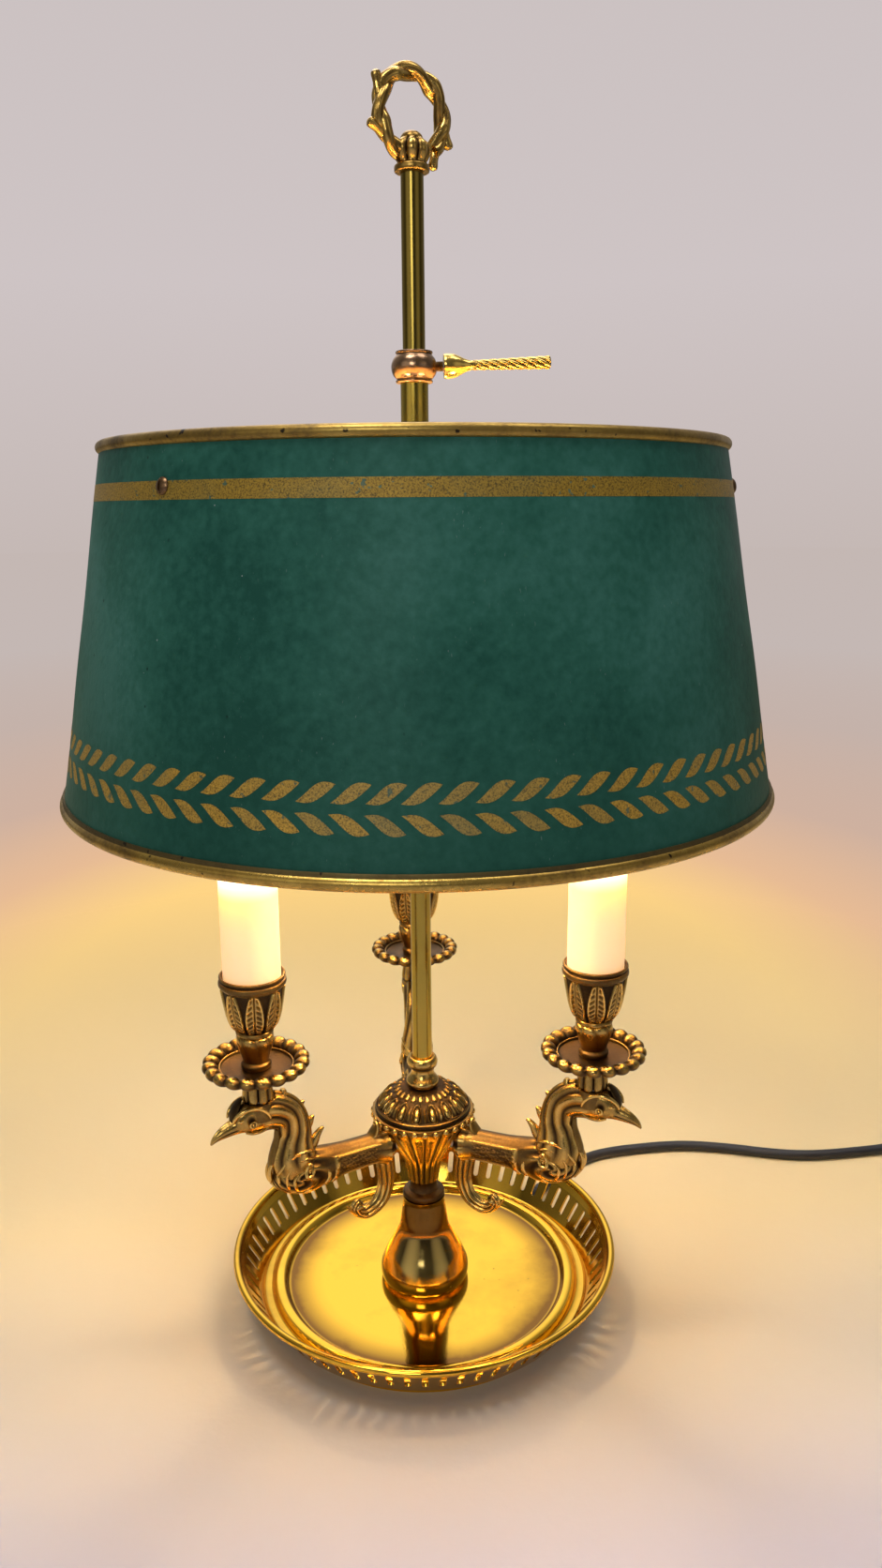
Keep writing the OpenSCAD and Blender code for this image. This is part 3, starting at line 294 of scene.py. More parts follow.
def carry(path: Array, radii: Array | float, sides: int = 16, up: Sequence[float] = (0, 0, 1),
          loop: bool = False, flat: Array | float = 1.0, relief: Relief | None = None, age: float = WORN) -> Skin:
    """A round or oval section carried along a path. At each point the section's first axis is up made
    square to the path, and its second is square to both.

    Args:
        path: The middle line.
        radii: Radius along the first axis, for all or for each point.
        sides: Steps round the section.
        up: The direction that the first axis leans to.
        loop: The path is closed.
        flat: Radius along the second axis as a share of the first.
        relief: Rise and tarnish from the section's angle and the position along the path.
        age: Tarnish where there is no relief.

    Returns:
        The skin.
    """
    t = slopes(path, loop)
    u = np.broadcast_to(np.asarray(up, float), path.shape)
    first = unit(u - (u * t).sum(-1, keepdims=True) * t)
    second = np.cross(t, first)
    r, f = (np.broadcast_to(np.asarray(v, float), (len(path),))[:, None] for v in (radii, flat))
    a, rise, tarnish = texture(relief, sides, len(path), age)
    one, two = (r + rise) * np.cos(a), (r * f + rise) * np.sin(a)
    rows = path[:, None, :] + one[..., None] * first[:, None, :] + two[..., None] * second[:, None, :]
    return Skin.grid(rows, tarnish, loop)


def ball(middle: Sequence[float], radius: float, sides: int = 12, squash: Sequence[float] = (1, 1, 1),
         age: float = 0.1) -> Skin:
    """A ball: rings at equal steps of latitude.

    Args:
        middle: Its centre.
        radius: Its radius.
        sides: Steps round it; half as many from pole to pole.
        squash: Factors on the three axes.
        age: Tarnish.

    Returns:
        The skin.
    """
    lat = np.linspace(-np.pi / 2, np.pi / 2, sides // 2 + 1)[1:-1, None]
    lon = around(sides)[None, :]
    rows = stack(np.cos(lat) * np.cos(lon), np.cos(lat) * np.sin(lon), np.sin(lat))
    south, north = (np.broadcast_to([0.0, 0.0, z], (1, sides, 3)) for z in (-1.0, 1.0))
    rows = np.concatenate([south, rows, north])
    return Skin.grid(np.asarray(middle, float) + radius * rows * np.asarray(squash, float), age)


def limb(stations: Sequence[Sequence[float]], steps: int = 8, sides: int = 20, relief: Relief | None = None,
         age: float = WORN) -> Skin:
    """An oval limb in the X-Z plane through stations of (x, z, half height, half width). The relief's
    angle is 0 on the outer edge of the way it bends up and a quarter turn on the +Y flank.

    Args:
        stations: The stations.
        steps: Samples between neighbours.
        sides: Steps round the section.
        relief: Rise and tarnish from angle and position along.
        age: Tarnish where there is no relief.

    Returns:
        The skin.
    """
    s = flow(stations, steps)
    t = slopes(s[:, :2])
    a, rise, tarnish = texture(relief, sides, len(s), age)
    high, wide = (np.maximum(s[:, k : k + 1] + rise, THINNEST) for k in (2, 3))
    x = s[:, :1] - t[:, 1:] * high * np.cos(a)
    z = s[:, 1:2] + t[:, :1] * high * np.cos(a)
    return Skin.grid(stack(x, wide * np.sin(a), z), tarnish)


def show(name: str, data: bpy.types.ID) -> bpy.types.Object:
    """Makes an object of its data and links it to the scene."""
    obj = bpy.data.objects.new(name, data)
    bpy.context.scene.collection.objects.link(obj)
    return obj


def put(name: str, skin: Skin, finish: "Finish", *nodes: str, body: Body = Body.LAMP, slot: str = "",
        crease: float = 35.0) -> bpy.types.Object:
    """Makes a skin into a dressed object that rides on a body.

    Args:
        name: The piece's name.
        skin: Its surfaces.
        finish: Its finish.
        *nodes: CAD nodes that it stands for.
        body: The body that it moves with.
        slot: Not used.
        crease: Edges sharper than this many degrees stay crisp.

    Returns:
        The object.
    """
    mesh = skin.mesh(name)
    mesh.polygons.foreach_set("use_smooth", np.ones(len(mesh.polygons), bool))
    mesh.set_sharp_from_angle(angle=math.radians(crease))
    mesh.materials.append(finish.material())
    obj = show(name, mesh)
    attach(obj, body.value)
    slot or finish.slot or finish.name
    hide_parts(*nodes)
    LOG.info("%s: %d faces", name, len(mesh.polygons))
    return obj


# ---- Finishes ---------------------------------------------------------------------------------------


class Graph:
    """The node tree of a material or a world, wired by short calls."""

    def __init__(self, owner: Material | bpy.types.World, place: str = "Object") -> None:
        """Empties the owner's tree and starts it with its coordinates."""
        self.owner = owner
        owner.use_nodes = True
        self.tree = owner.node_tree
        self.tree.nodes.clear()
        self.here = self.add("TexCoord").outputs[place]

    def add(self, kind: str, settings: dict[str, Any] | None = None, **inputs: Any) -> bpy.types.Node:
        """Adds a node.

        Args:
            kind: Blender's name for the shader node, less its prefix.
            settings: Attributes of the node.
            **inputs: Values or sockets for inputs; an underscore stands for a space, and i0, i1 are places.

        Returns:
            The node.
        """
        node = self.tree.nodes.new(f"ShaderNode{kind}")
        for key, value in (settings or {}).items():
            setattr(node, key, value)
        for key, value in inputs.items():
            by_place = key[0] == "i" and key[1:].isdigit()
            socket = node.inputs[int(key[1:])] if by_place else node.inputs[key.replace("_", " ")]
            if isinstance(value, Socket):
                self.tree.links.new(value, socket)
            else:
                socket.default_value = (*value, 1.0) if socket.type == "RGBA" else value
        return node

    def calc(self, operation: str, one: Any, two: Any) -> Socket:
        """The result of a Math node on two values or sockets."""
        return self.add("Math", {"operation": operation}, i0=one, i1=two).outputs[0]

    def plus(self, one: Any, two: Any) -> Socket:
        """The sum of two values."""
        return self.calc("ADD", one, two)

    def times(self, one: Any, two: Any) -> Socket:
        """The product of two values."""
        return self.calc("MULTIPLY", one, two)

    def most(self, one: Any, two: Any) -> Socket:
        """The larger of two values."""
        return self.calc("MAXIMUM", one, two)

    def axis(self, name: str) -> Socket:
        """One of the place's coordinates."""
        return self.add("SeparateXYZ", Vector=self.here).outputs[name]

    def placed(self, scale: Sequence[float], **more: Any) -> Socket:
        """The place with its axes scaled apart, and moved or turned if more says so."""
        return self.add("Mapping", Vector=self.here, Scale=tuple(scale), **more).outputs[0]

    def noise(self, scale: float, detail: float = 3.0, stretch: Sequence[float] = (1, 1, 1), rough: float = 0.55,
              **more: Any) -> Socket:
        """Cloudy noise of a scale per metre, stretched by factors on the object's axes."""
        place = self.placed(stretch, **more)
        return self.add("TexNoise", Vector=place, Scale=scale, Detail=detail, Roughness=rough).outputs["Fac"]

    def cells(self, scale: float, stretch: Sequence[float] = (1, 1, 1)) -> Socket:
        """Distance to the nearest of scattered points."""
        return self.add("TexVoronoi", Vector=self.placed(stretch), Scale=scale).outputs["Distance"]

    def ramp(self, value: Any, *stops: tuple[float, Colour]) -> Socket:
        """Colours along a value."""
        node = self.add("ValToRGB", Fac=value)
        points = node.color_ramp.elements
        while len(points) < len(stops):
            points.new(0.5)
        for point, (place, colour) in zip(points, stops):
            point.position = place
            point.color = (*colour, 1.0)
        return node.outputs["Color"]

    def range(self, value: Any, low: float, high: float, out_low: float = 0.0,
              out_high: float = 1.0) -> Socket:
        """A value carried from one range to another and held at its ends."""
        return self.add("MapRange", Value=value, From_Min=low, From_Max=high, To_Min=out_low,
                        To_Max=out_high).outputs["Result"]

    def mix(self, share: Any, one: Any, two: Any, blend: str = "MIX") -> Socket:
        """A colour between two, by share, or their product where blend is MULTIPLY."""
        return self.add("Mix", {"data_type": "RGBA", "blend_type": blend}, i0=share, i6=one, i7=two).outputs[2]

    def age(self) -> Socket:
        """The piece's own tarnish value."""
        return self.add("Attribute", {"attribute_name": "age"}).outputs["Fac"]

    def finish(self, bumps: Any, depth: float, **sockets: Any) -> Material:
        """Ends the tree in a principled shader.

        Args:
            bumps: Height for the bump.
            depth: Bump distance in metres.
            **sockets: The shader's inputs.

        Returns:
            The material.
        """
        normal = self.add("Bump", Height=bumps, Distance=depth).outputs[0]
        shader = self.add("BsdfPrincipled", Normal=normal, **sockets)
        self.add("OutputMaterial", Surface=shader.outputs[0])
        return self.owner


@dataclass(frozen=True)
class Finish:
    """A finish: makes its material once and keeps it."""

    name: str
    slot: str = ""
    made: ClassVar[dict[str, Material]] = {}

    def material(self) -> Material:
        """The finish's material."""
        if self.name not in Finish.made:
            Finish.made[self.name] = self.wire(Graph(bpy.data.materials.new(self.name)))
        return Finish.made[self.name]

    def wire(self, g: Graph) -> Material:
        """Wires the material."""
        raise NotImplementedError


@dataclass(frozen=True)
class CastBrass(Finish):
    """Cast brass, rubbed bright on its high points and dark brown in its recesses."""

    high: Colour = (0.80, 0.53, 0.14)
    middle: Colour = (0.36, 0.215, 0.05)
    low: Colour = (0.035, 0.02, 0.008)

    def wire(self, g: Graph) -> Material:
        """Tarnish is the piece's own value with cloudy and grainy noise added; it sets colour and gloss."""
        cloud = g.times(g.calc("SUBTRACT", g.noise(70, 4), 0.5), 0.55)
        grain = g.noise(1100, 2)
        worn = g.plus(g.plus(g.age(), cloud), g.times(g.calc("SUBTRACT", grain, 0.5), 0.2))
        colour = g.ramp(worn, (0.0, self.high), (0.36, self.middle), (0.68, (0.12, 0.07, 0.024)), (1.0, self.low))
        return g.finish(grain, 0.00006, Base_Color=colour, Metallic=1.0, Roughness=g.range(worn, 0.0, 1.0, 0.17, 0.5))


@dataclass(frozen=True)
class SpunBrass(Finish):
    """Polished sheet brass with brown patches, fine pits and a slightly uneven surface."""

    colour: Colour = (0.83, 0.57, 0.18)
    stain: Colour = (0.30, 0.15, 0.045)
    gloss: float = 0.13
    waves: float = 0.0004
    stretch: tuple[float, float, float] = (1.0, 1.0, 1.0)

    def wire(self, g: Graph) -> Material:
        """Clouds set the stains, scattered cells the pits, and a slow noise bends the reflections."""
        cloud = g.noise(28, 5, self.stretch)
        stains = g.plus(g.range(cloud, 0.5, 0.78, 0.0, 0.35), g.age())
        pits = g.range(g.cells(170), 0.03, 0.09, 1.0, 0.0)
        some = g.range(g.noise(55, 1), 0.56, 0.64)
        spots = g.times(pits, some)
        colour = g.mix(spots, g.mix(stains, self.colour, self.stain), (0.05, 0.03, 0.015))
        rough = g.plus(g.range(cloud, 0.3, 0.8, self.gloss, self.gloss + 0.1), g.times(spots, 0.4))
        height = g.plus(g.noise(22, 1, self.stretch), g.times(g.noise(900, 2), 0.015))
        return g.finish(height, self.waves, Base_Color=colour, Metallic=1.0, Roughness=rough)


@dataclass(frozen=True)
class Steel(Finish):
    """Plated steel."""

    def wire(self, g: Graph) -> Material:
        """Grey metal with a faint grain in its gloss."""
        tone = g.ramp(g.noise(90), (0.2, (0.5, 0.5, 0.5)), (0.8, (0.66, 0.66, 0.68)))
        rough = g.range(g.noise(700, 3), 0.2, 0.8, 0.22, 0.42)
        return g.finish(g.noise(1500), 0.00003, Base_Color=tone, Metallic=1.0, Roughness=rough)


def paint(g: Graph) -> tuple[Socket, Socket]:
    """The green paint's colour, and the mask of its scratches and pale specks.

    Args:
        g: The material's graph.

    Returns:
        The colour and the mask.
    """
    mottle = g.plus(g.times(g.noise(11, 4), 0.72), g.times(g.noise(260, 4), 0.28))
    base = g.ramp(mottle, (0.37, (0.014, 0.078, 0.052)), (0.5, (0.029, 0.128, 0.086)), (0.63, (0.052, 0.178, 0.130)))
    base = g.mix(g.range(g.axis("Z"), 0.28, 0.36, 0.5, 0.0), base, (0.014, 0.062, 0.038))
    lines = g.noise(1400, 1, (1.0, 1.0, 0.3), 0.5, Rotation=(0.6, 0.9, 0.3))
    scratch = g.times(g.range(lines, 0.72, 0.78), g.range(g.noise(38, 2), 0.52, 0.66, 0.0, 0.25))
    specks = g.times(g.range(g.cells(95), 0.022, 0.035, 1.0, 0.0), g.range(g.noise(60, 1), 0.54, 0.56))
    flecks = g.range(g.cells(150, (1, 1, 0.8)), 0.05, 0.1, 1.0, 0.0)
    dirt = g.times(flecks, g.range(g.noise(60, 1), 0.6, 0.66, 0.0, 0.8))
    marks = g.most(scratch, specks)
    return g.mix(dirt, g.mix(marks, base, (0.34, 0.42, 0.38)), (0.008, 0.016, 0.014)), marks


@dataclass(frozen=True)
class TolePaint(Finish):
    """Dark blue-green paint on metal, mottled, finely scratched and speckled."""

    def wire(self, g: Graph) -> Material:
        """Two scales of mottling, sparse scratches and specks, and a soft uneven gloss."""
        colour, marks = paint(g)
        rough = g.plus(g.range(g.noise(14, 4), 0.3, 0.7, 0.34, 0.5), g.times(marks, 0.2))
        return g.finish(g.noise(420, 3), 0.00012, Base_Color=colour, Roughness=rough, Specular_IOR_Level=0.08)


@dataclass(frozen=True)
class Gilding(Finish):
    """Gold size on the green paint: grainy, with the paint showing through where it is rubbed."""

    gold: Colour = (0.44, 0.26, 0.03)
    rubbed: float = 0.5

    def wire(self, g: Graph) -> Material:
        """Fine cells and noise break the gold; a slow noise wears it through to the paint."""
        colour, _ = paint(g)
        grain = g.range(g.noise(1500, 3, (1, 1, 1), 0.7), 0.36, 0.62)
        dim, bright = (tuple(k * c for c in self.gold) for k in (0.32, 1.45))
        gold = g.ramp(grain, (0.0, dim), (0.45, self.gold), (1.0, bright))
        wear = g.times(g.range(g.noise(24, 4), 0.5, 0.75), self.rubbed)
        chips = g.range(g.noise(330, 2), 0.66, 0.7, 0.0, 0.8)
        gone = g.most(g.most(wear, chips), g.age())
        metal = g.range(gone, 0.0, 1.0, 0.3, 0.0)
        return g.finish(grain, 0.00005, Base_Color=g.mix(gone, gold, colour), Metallic=metal, Roughness=0.46)


@dataclass(frozen=True)
class GiltRim(Finish):
    """Gold lacquer on the shade's rolled rims, with brown wear and dark chips."""

    def wire(self, g: Graph) -> Material:
        """Gold broken by clouds of brown and by chips; where it is old it is a dull olive."""
        cloud = g.plus(g.noise(45, 5), g.times(g.noise(600, 3), 0.35))
        gold = g.ramp(cloud, (0.45, (0.60, 0.40, 0.085)), (0.68, (0.42, 0.26, 0.05)), (0.9, (0.14, 0.085, 0.025)))
        colour = g.mix(g.age(), gold, (0.075, 0.062, 0.028))
        chips = g.range(g.noise(210, 2), 0.68, 0.72)
        rough = g.plus(g.range(cloud, 0.4, 0.9, 0.2, 0.42), g.times(g.age(), 0.25))
        return g.finish(g.noise(500, 3), 0.0001, Base_Color=g.mix(chips, colour, (0.03, 0.022, 0.012)), Metallic=0.9,
                        Roughness=rough)


@dataclass(frozen=True)
class Candle(Finish):
    """Translucent white candle cover, with a painted glow: emission that stands in for the bulb's light on its upper
    part.
    """

    # heights in metres where the painted glow starts and where it is full
    dark_z: float = 0.225
    bright_z: float = 0.253

    def wire(self, g: Graph) -> Material:
        """The painted glow of the bulb's light grows with height, from a warm tint to white."""
        up = g.range(g.axis("Z"), self.dark_z, self.bright_z)
        tint = g.ramp(up, (0.0, (1.0, 0.55, 0.22)), (0.5, (1.0, 0.66, 0.10)), (1.0, (1.0, 0.97, 0.98)))
        # painted light: the bulb's light on the cover, given as emission
        glow = g.plus(g.times(g.calc("POWER", up, 2.2), 1.9), 0.54)
        base = g.ramp(g.noise(60, 3), (0.2, (0.78, 0.69, 0.52)), (0.8, (0.85, 0.77, 0.60)))
        return g.finish(g.noise(200, 2), 0.00004, Base_Color=base, Roughness=0.42, Emission_Color=tint,
                        Emission_Strength=glow)


@dataclass(frozen=True)
class LitGlass(Finish):
    """Frosted bulb glass, lit from inside."""

    power: float = 70.0

    def wire(self, g: Graph) -> Material:
        """Warm white light from a satin surface."""
        base = g.ramp(g.noise(400, 2), (0.3, (0.93, 0.88, 0.78)), (0.7, (0.97, 0.93, 0.85)))
        return g.finish(g.noise(900, 1), 0.00002, Base_Color=base, Roughness=0.35,
                        Emission_Color=(1.0, 0.70, 0.38), Emission_Strength=self.power)


@dataclass(frozen=True)
class Moulded(Finish):
    """Moulded plastic or rubber in one colour, with a fine texture."""

    colour: Colour = (0.012, 0.012, 0.013)
    rough: float = 0.42
    grain: float = 900.0
    depth: float = 0.00004

    def wire(self, g: Graph) -> Material:
        """Grain varies the gloss and the surface a little."""
        light = tuple(min(1.0, c * 1.5 + 0.002) for c in self.colour)
        tone = g.ramp(g.noise(160, 3), (0.3, self.colour), (0.8, light))
        rough = g.range(g.noise(320, 3), 0.2, 0.8, self.rough - 0.08, self.rough + 0.1)
        return g.finish(g.noise(self.grain, 2), self.depth, Base_Color=tone, Roughness=rough)


@dataclass(frozen=True)
class Ground(Finish):
    """The pale ground that the lamp stands on: cool in front, and warm beside the lamp, where the warmth is painted
    light from the bulbs. Behind the lamp and far from it the camera sees a plain glow, a painted pool of warm bulb
    light that fades to the colour of the horizon."""

    # front is the cool tone away from the lamp; beside is a warm tone that paints the bulbs' light on the ground
    front: Colour = (0.61, 0.59, 0.65)
    beside: Colour = (0.78, 0.67, 0.40)

    def wire(self, g: Graph) -> Material:
        """The matt tone follows the depth, with painted warm lamplight beside the lamp; the painted glow follows the
        distance from a place behind the lamp, with the two axes scaled apart."""
        depth = g.axis("Y")
        # painted lamplight: the ground turns warm towards the lamp
        lamplight_share = g.plus(g.range(depth, -0.17, 0.06, 0.0, 0.98), g.range(g.noise(5, 3), 0.2, 0.8, 0.0, 0.02))
        tone = g.ramp(lamplight_share, (0.0, self.front), (0.4, (0.68, 0.63, 0.52)), (1.0, self.beside))
        height = g.add("Bump", Height=g.noise(120, 3), Distance=0.0002).outputs[0]
        matt = g.add("BsdfDiffuse", Color=tone, Normal=height).outputs[0]
        away = g.add("VectorMath", {"operation": "LENGTH"}, i0=g.here).outputs["Value"]
        moved = g.placed((1.82, 1.33, 0.0), Location=(0.0, -0.47, 0.0))
        apart = g.add("VectorMath", {"operation": "LENGTH"}, i0=moved).outputs["Value"]
        # painted pool of warm bulb light behind the lamp, fading to the horizon's colour
        glow = g.ramp(
            g.range(apart, 0.0, 4.0), (0.0, (1.0, 0.65, 0.20)), (0.15, (1.0, 0.66, 0.235)), (0.22, (0.80, 0.50, 0.30)),
            (0.32, (0.62, 0.44, 0.35)), (0.55, (0.555, 0.445, 0.40)), (1.0, HORIZON))
        shine = g.add("Emission", Color=glow).outputs[0]
        behind = g.times(g.range(away, 0.25, 0.7), g.range(depth, 0.0, 0.3))
        plain = g.most(behind, g.range(away, 1.0, 1.6))
        seen = g.add("LightPath").outputs["Is Camera Ray"]
        mix = g.add("MixShader", i0=g.times(plain, seen), i1=matt, i2=shine).outputs[0]
        g.add("OutputMaterial", Surface=mix)
        return g.owner


ANTIQUE = CastBrass("antique_brass")
BRONZE = CastBrass("bronze", high=(0.46, 0.29, 0.16), middle=(0.25, 0.145, 0.075), low=(0.05, 0.03, 0.02))
POLISHED = "polished_brass"
TRAY_BRASS = SpunBrass("tray_brass", POLISHED, (0.92, 0.54, 0.05), (0.21, 0.10, 0.02), gloss=0.03, waves=0.0006)
BELL_BRASS = SpunBrass("bell_brass", POLISHED, (0.52, 0.37, 0.11), (0.13, 0.065, 0.02), gloss=0.1, waves=0.0002)
ROD_BRASS = SpunBrass("rod_brass", POLISHED, (0.62, 0.45, 0.075), (0.13, 0.085, 0.02), gloss=0.15, waves=0.0001,
                      stretch=(1.0, 1.0, 0.35))
KEY_BRASS = CastBrass("key_brass", POLISHED, high=(0.80, 0.56, 0.14), middle=(0.46, 0.30, 0.07))
STEEL = Steel("plated_steel")
TOLE = TolePaint("green_tole")
LEAF_GOLD = Gilding("leaf_gold", TOLE.name, rubbed=0.4)
BAND_GOLD = Gilding("band_gold", TOLE.name, gold=(0.31, 0.19, 0.016), rubbed=0.3)
RIM_GOLD = GiltRim("gilt_rim")
INSIDE = Moulded("shade_inside", colour=(0.62, 0.50, 0.30), rough=0.5)
CANDLE = Candle("candle_white")
BULB = LitGlass("bulb_glass")
IVORY = Moulded("socket_ivory", colour=(0.70, 0.62, 0.48), rough=0.5)
RUBBER = Moulded("black_cord", colour=(0.010, 0.010, 0.011), rough=0.48, grain=1500.0)
PLASTIC = Moulded("black_plastic", colour=(0.014, 0.014, 0.015), rough=0.3)


# ---- Camera and light -------------------------------------------------------------------------------


@dataclass
class Studio:
    """Camera, lamps, world and ground."""

    eye: tuple[float, float, float] = (-22.3, -539.5, 406.0)
    heading: float = 3.489
    pitch: float = 13.44
    roll: float = 0.41
    lens: float = 26.44
    aim_z: float = 0.28
    softboxes: tuple[tuple[tuple[float, float, float], float, float, Colour], ...] = (
        ((-0.42, -0.5, 2.1), 0.8, 15.0, (0.97, 0.94, 1.0)),
        ((0.7, -0.1, 2.1), 0.8, 8.0, (0.97, 0.94, 1.0)),
        ((-0.1, 0.9, 2.1), 1.0, 8.0, (0.97, 0.94, 1.0)),
        ((-0.4, -1.6, 0.95), 0.5, 4.5, (0.94, 0.95, 1.0)),
    )
    patches: tuple[tuple[tuple[float, float, float], float, float, float], ...] = (
        ((-0.72, -0.67, 0.18), 6.0, 30.0, 0.6),
        ((0.70, -0.69, 0.18), 6.0, 26.0, 0.42),
        ((-0.1, 0.79, 0.61), 8.0, 32.0, 1.05),
    )

    def camera(self) -> None:
        """Places the camera: forward from heading and pitch, then rolled about it."""
        h, p, r = (math.radians(a) for a in (self.heading, self.pitch, self.roll))
        ahead = Vector((math.sin(h) * math.cos(p), math.cos(h) * math.cos(p), -math.sin(p)))
        level = Vector((math.cos(h), -math.sin(h), 0.0))
        over = level.cross(ahead)
        right = math.cos(r) * level - math.sin(r) * over
        up = right.cross(ahead)
        turn = Matrix((right, up, -ahead)).transposed().to_4x4()
        data = bpy.data.cameras.new("camera")
        data.lens, data.sensor_width = self.lens, 36.0
        data.clip_start, data.clip_end = 0.01, 60.0
        camera = show("camera", data)
        camera.matrix_world = Matrix.Translation(Vector(self.eye) * MM) @ turn
        bpy.context.scene.camera = camera

    def lights(self) -> None:
        """Soft square lamps that look at the shade."""
        for k, (place, size, watts, colour) in enumerate(self.softboxes):
            data = bpy.data.lights.new(f"softbox_{k}", "AREA")
            data.size, data.energy, data.color = size, watts, colour
            lamp = show(f"softbox_{k}", data)
            lamp.location = place
            lamp.rotation_mode = "QUATERNION"
            lamp.rotation_quaternion = (Vector((0, 0, self.aim_z)) - Vector(place)).to_track_quat("-Z", "Y")

    def world(self) -> None:
        """A pale world to the camera. To gloss it is a room, dark on the camera's side and pale behind the
        lamp, with a few bright windows; to matt surfaces it is an even fill."""
        world = bpy.data.worlds.new("room")
        bpy.context.scene.world = world
        g = Graph(world, "Generated")
        sky = g.ramp(g.range(g.axis("Z"), -0.05, 0.4), (0.0, HORIZON), (0.5, (0.617, 0.552, 0.555)),
                     (1.0, (0.597, 0.536, 0.535)))
        total = g.plus(g.range(g.axis("Y"), -0.25, 0.65, 0.06, 0.3), g.range(g.axis("Z"), 0.2, 1.0, 0.0, 0.12))
        for way, inner, outer, power in self.patches:
            aim = g.add("VectorMath", {"operation": "DOT_PRODUCT"}, i0=g.here, i1=tuple(Vector(way).normalized()))
            low, high = (math.cos(math.radians(a)) for a in (outer, inner))
            total = g.plus(total, g.range(aim.outputs["Value"], low, high, 0.0, power))
        room = g.mix(1.0, total, (1.0, 0.95, 0.92), "MULTIPLY")
        path = g.add("LightPath").outputs
        fill = g.add("Background", Color=(0.94, 0.92, 1.0), Strength=0.14).outputs[0]
        shine, seen = (g.add("Background", Color=c).outputs[0] for c in (room, sky))
        unseen = g.add("MixShader", i0=path["Is Glossy Ray"], i1=fill, i2=shine).outputs[0]
        all_rays = g.add("MixShader", i0=path["Is Camera Ray"], i1=unseen, i2=seen).outputs[0]
        g.add("OutputWorld", Surface=all_rays)

    def ground(self) -> None:
        """A wide round ground under the lamp."""
        a = around(96)
        rings = ((12000.0, -40.0), (12000.0, 0.0), (2500.0, 0.0), (700.0, 0.0))
        mesh = Skin.grid(np.stack([stack(r * np.cos(a), r * np.sin(a), z) for r, z in rings])).mesh("ground")
        mesh.materials.append(Ground("ground").material())
        show("ground", mesh)

    def build(self) -> None:
        """Makes all of the studio."""
        self.camera()
        self.lights()
        self.world()
        self.ground()
        bpy.context.scene.view_settings.view_transform = "Standard"


# ---- Cord -------------------------------------------------------------------------------------------


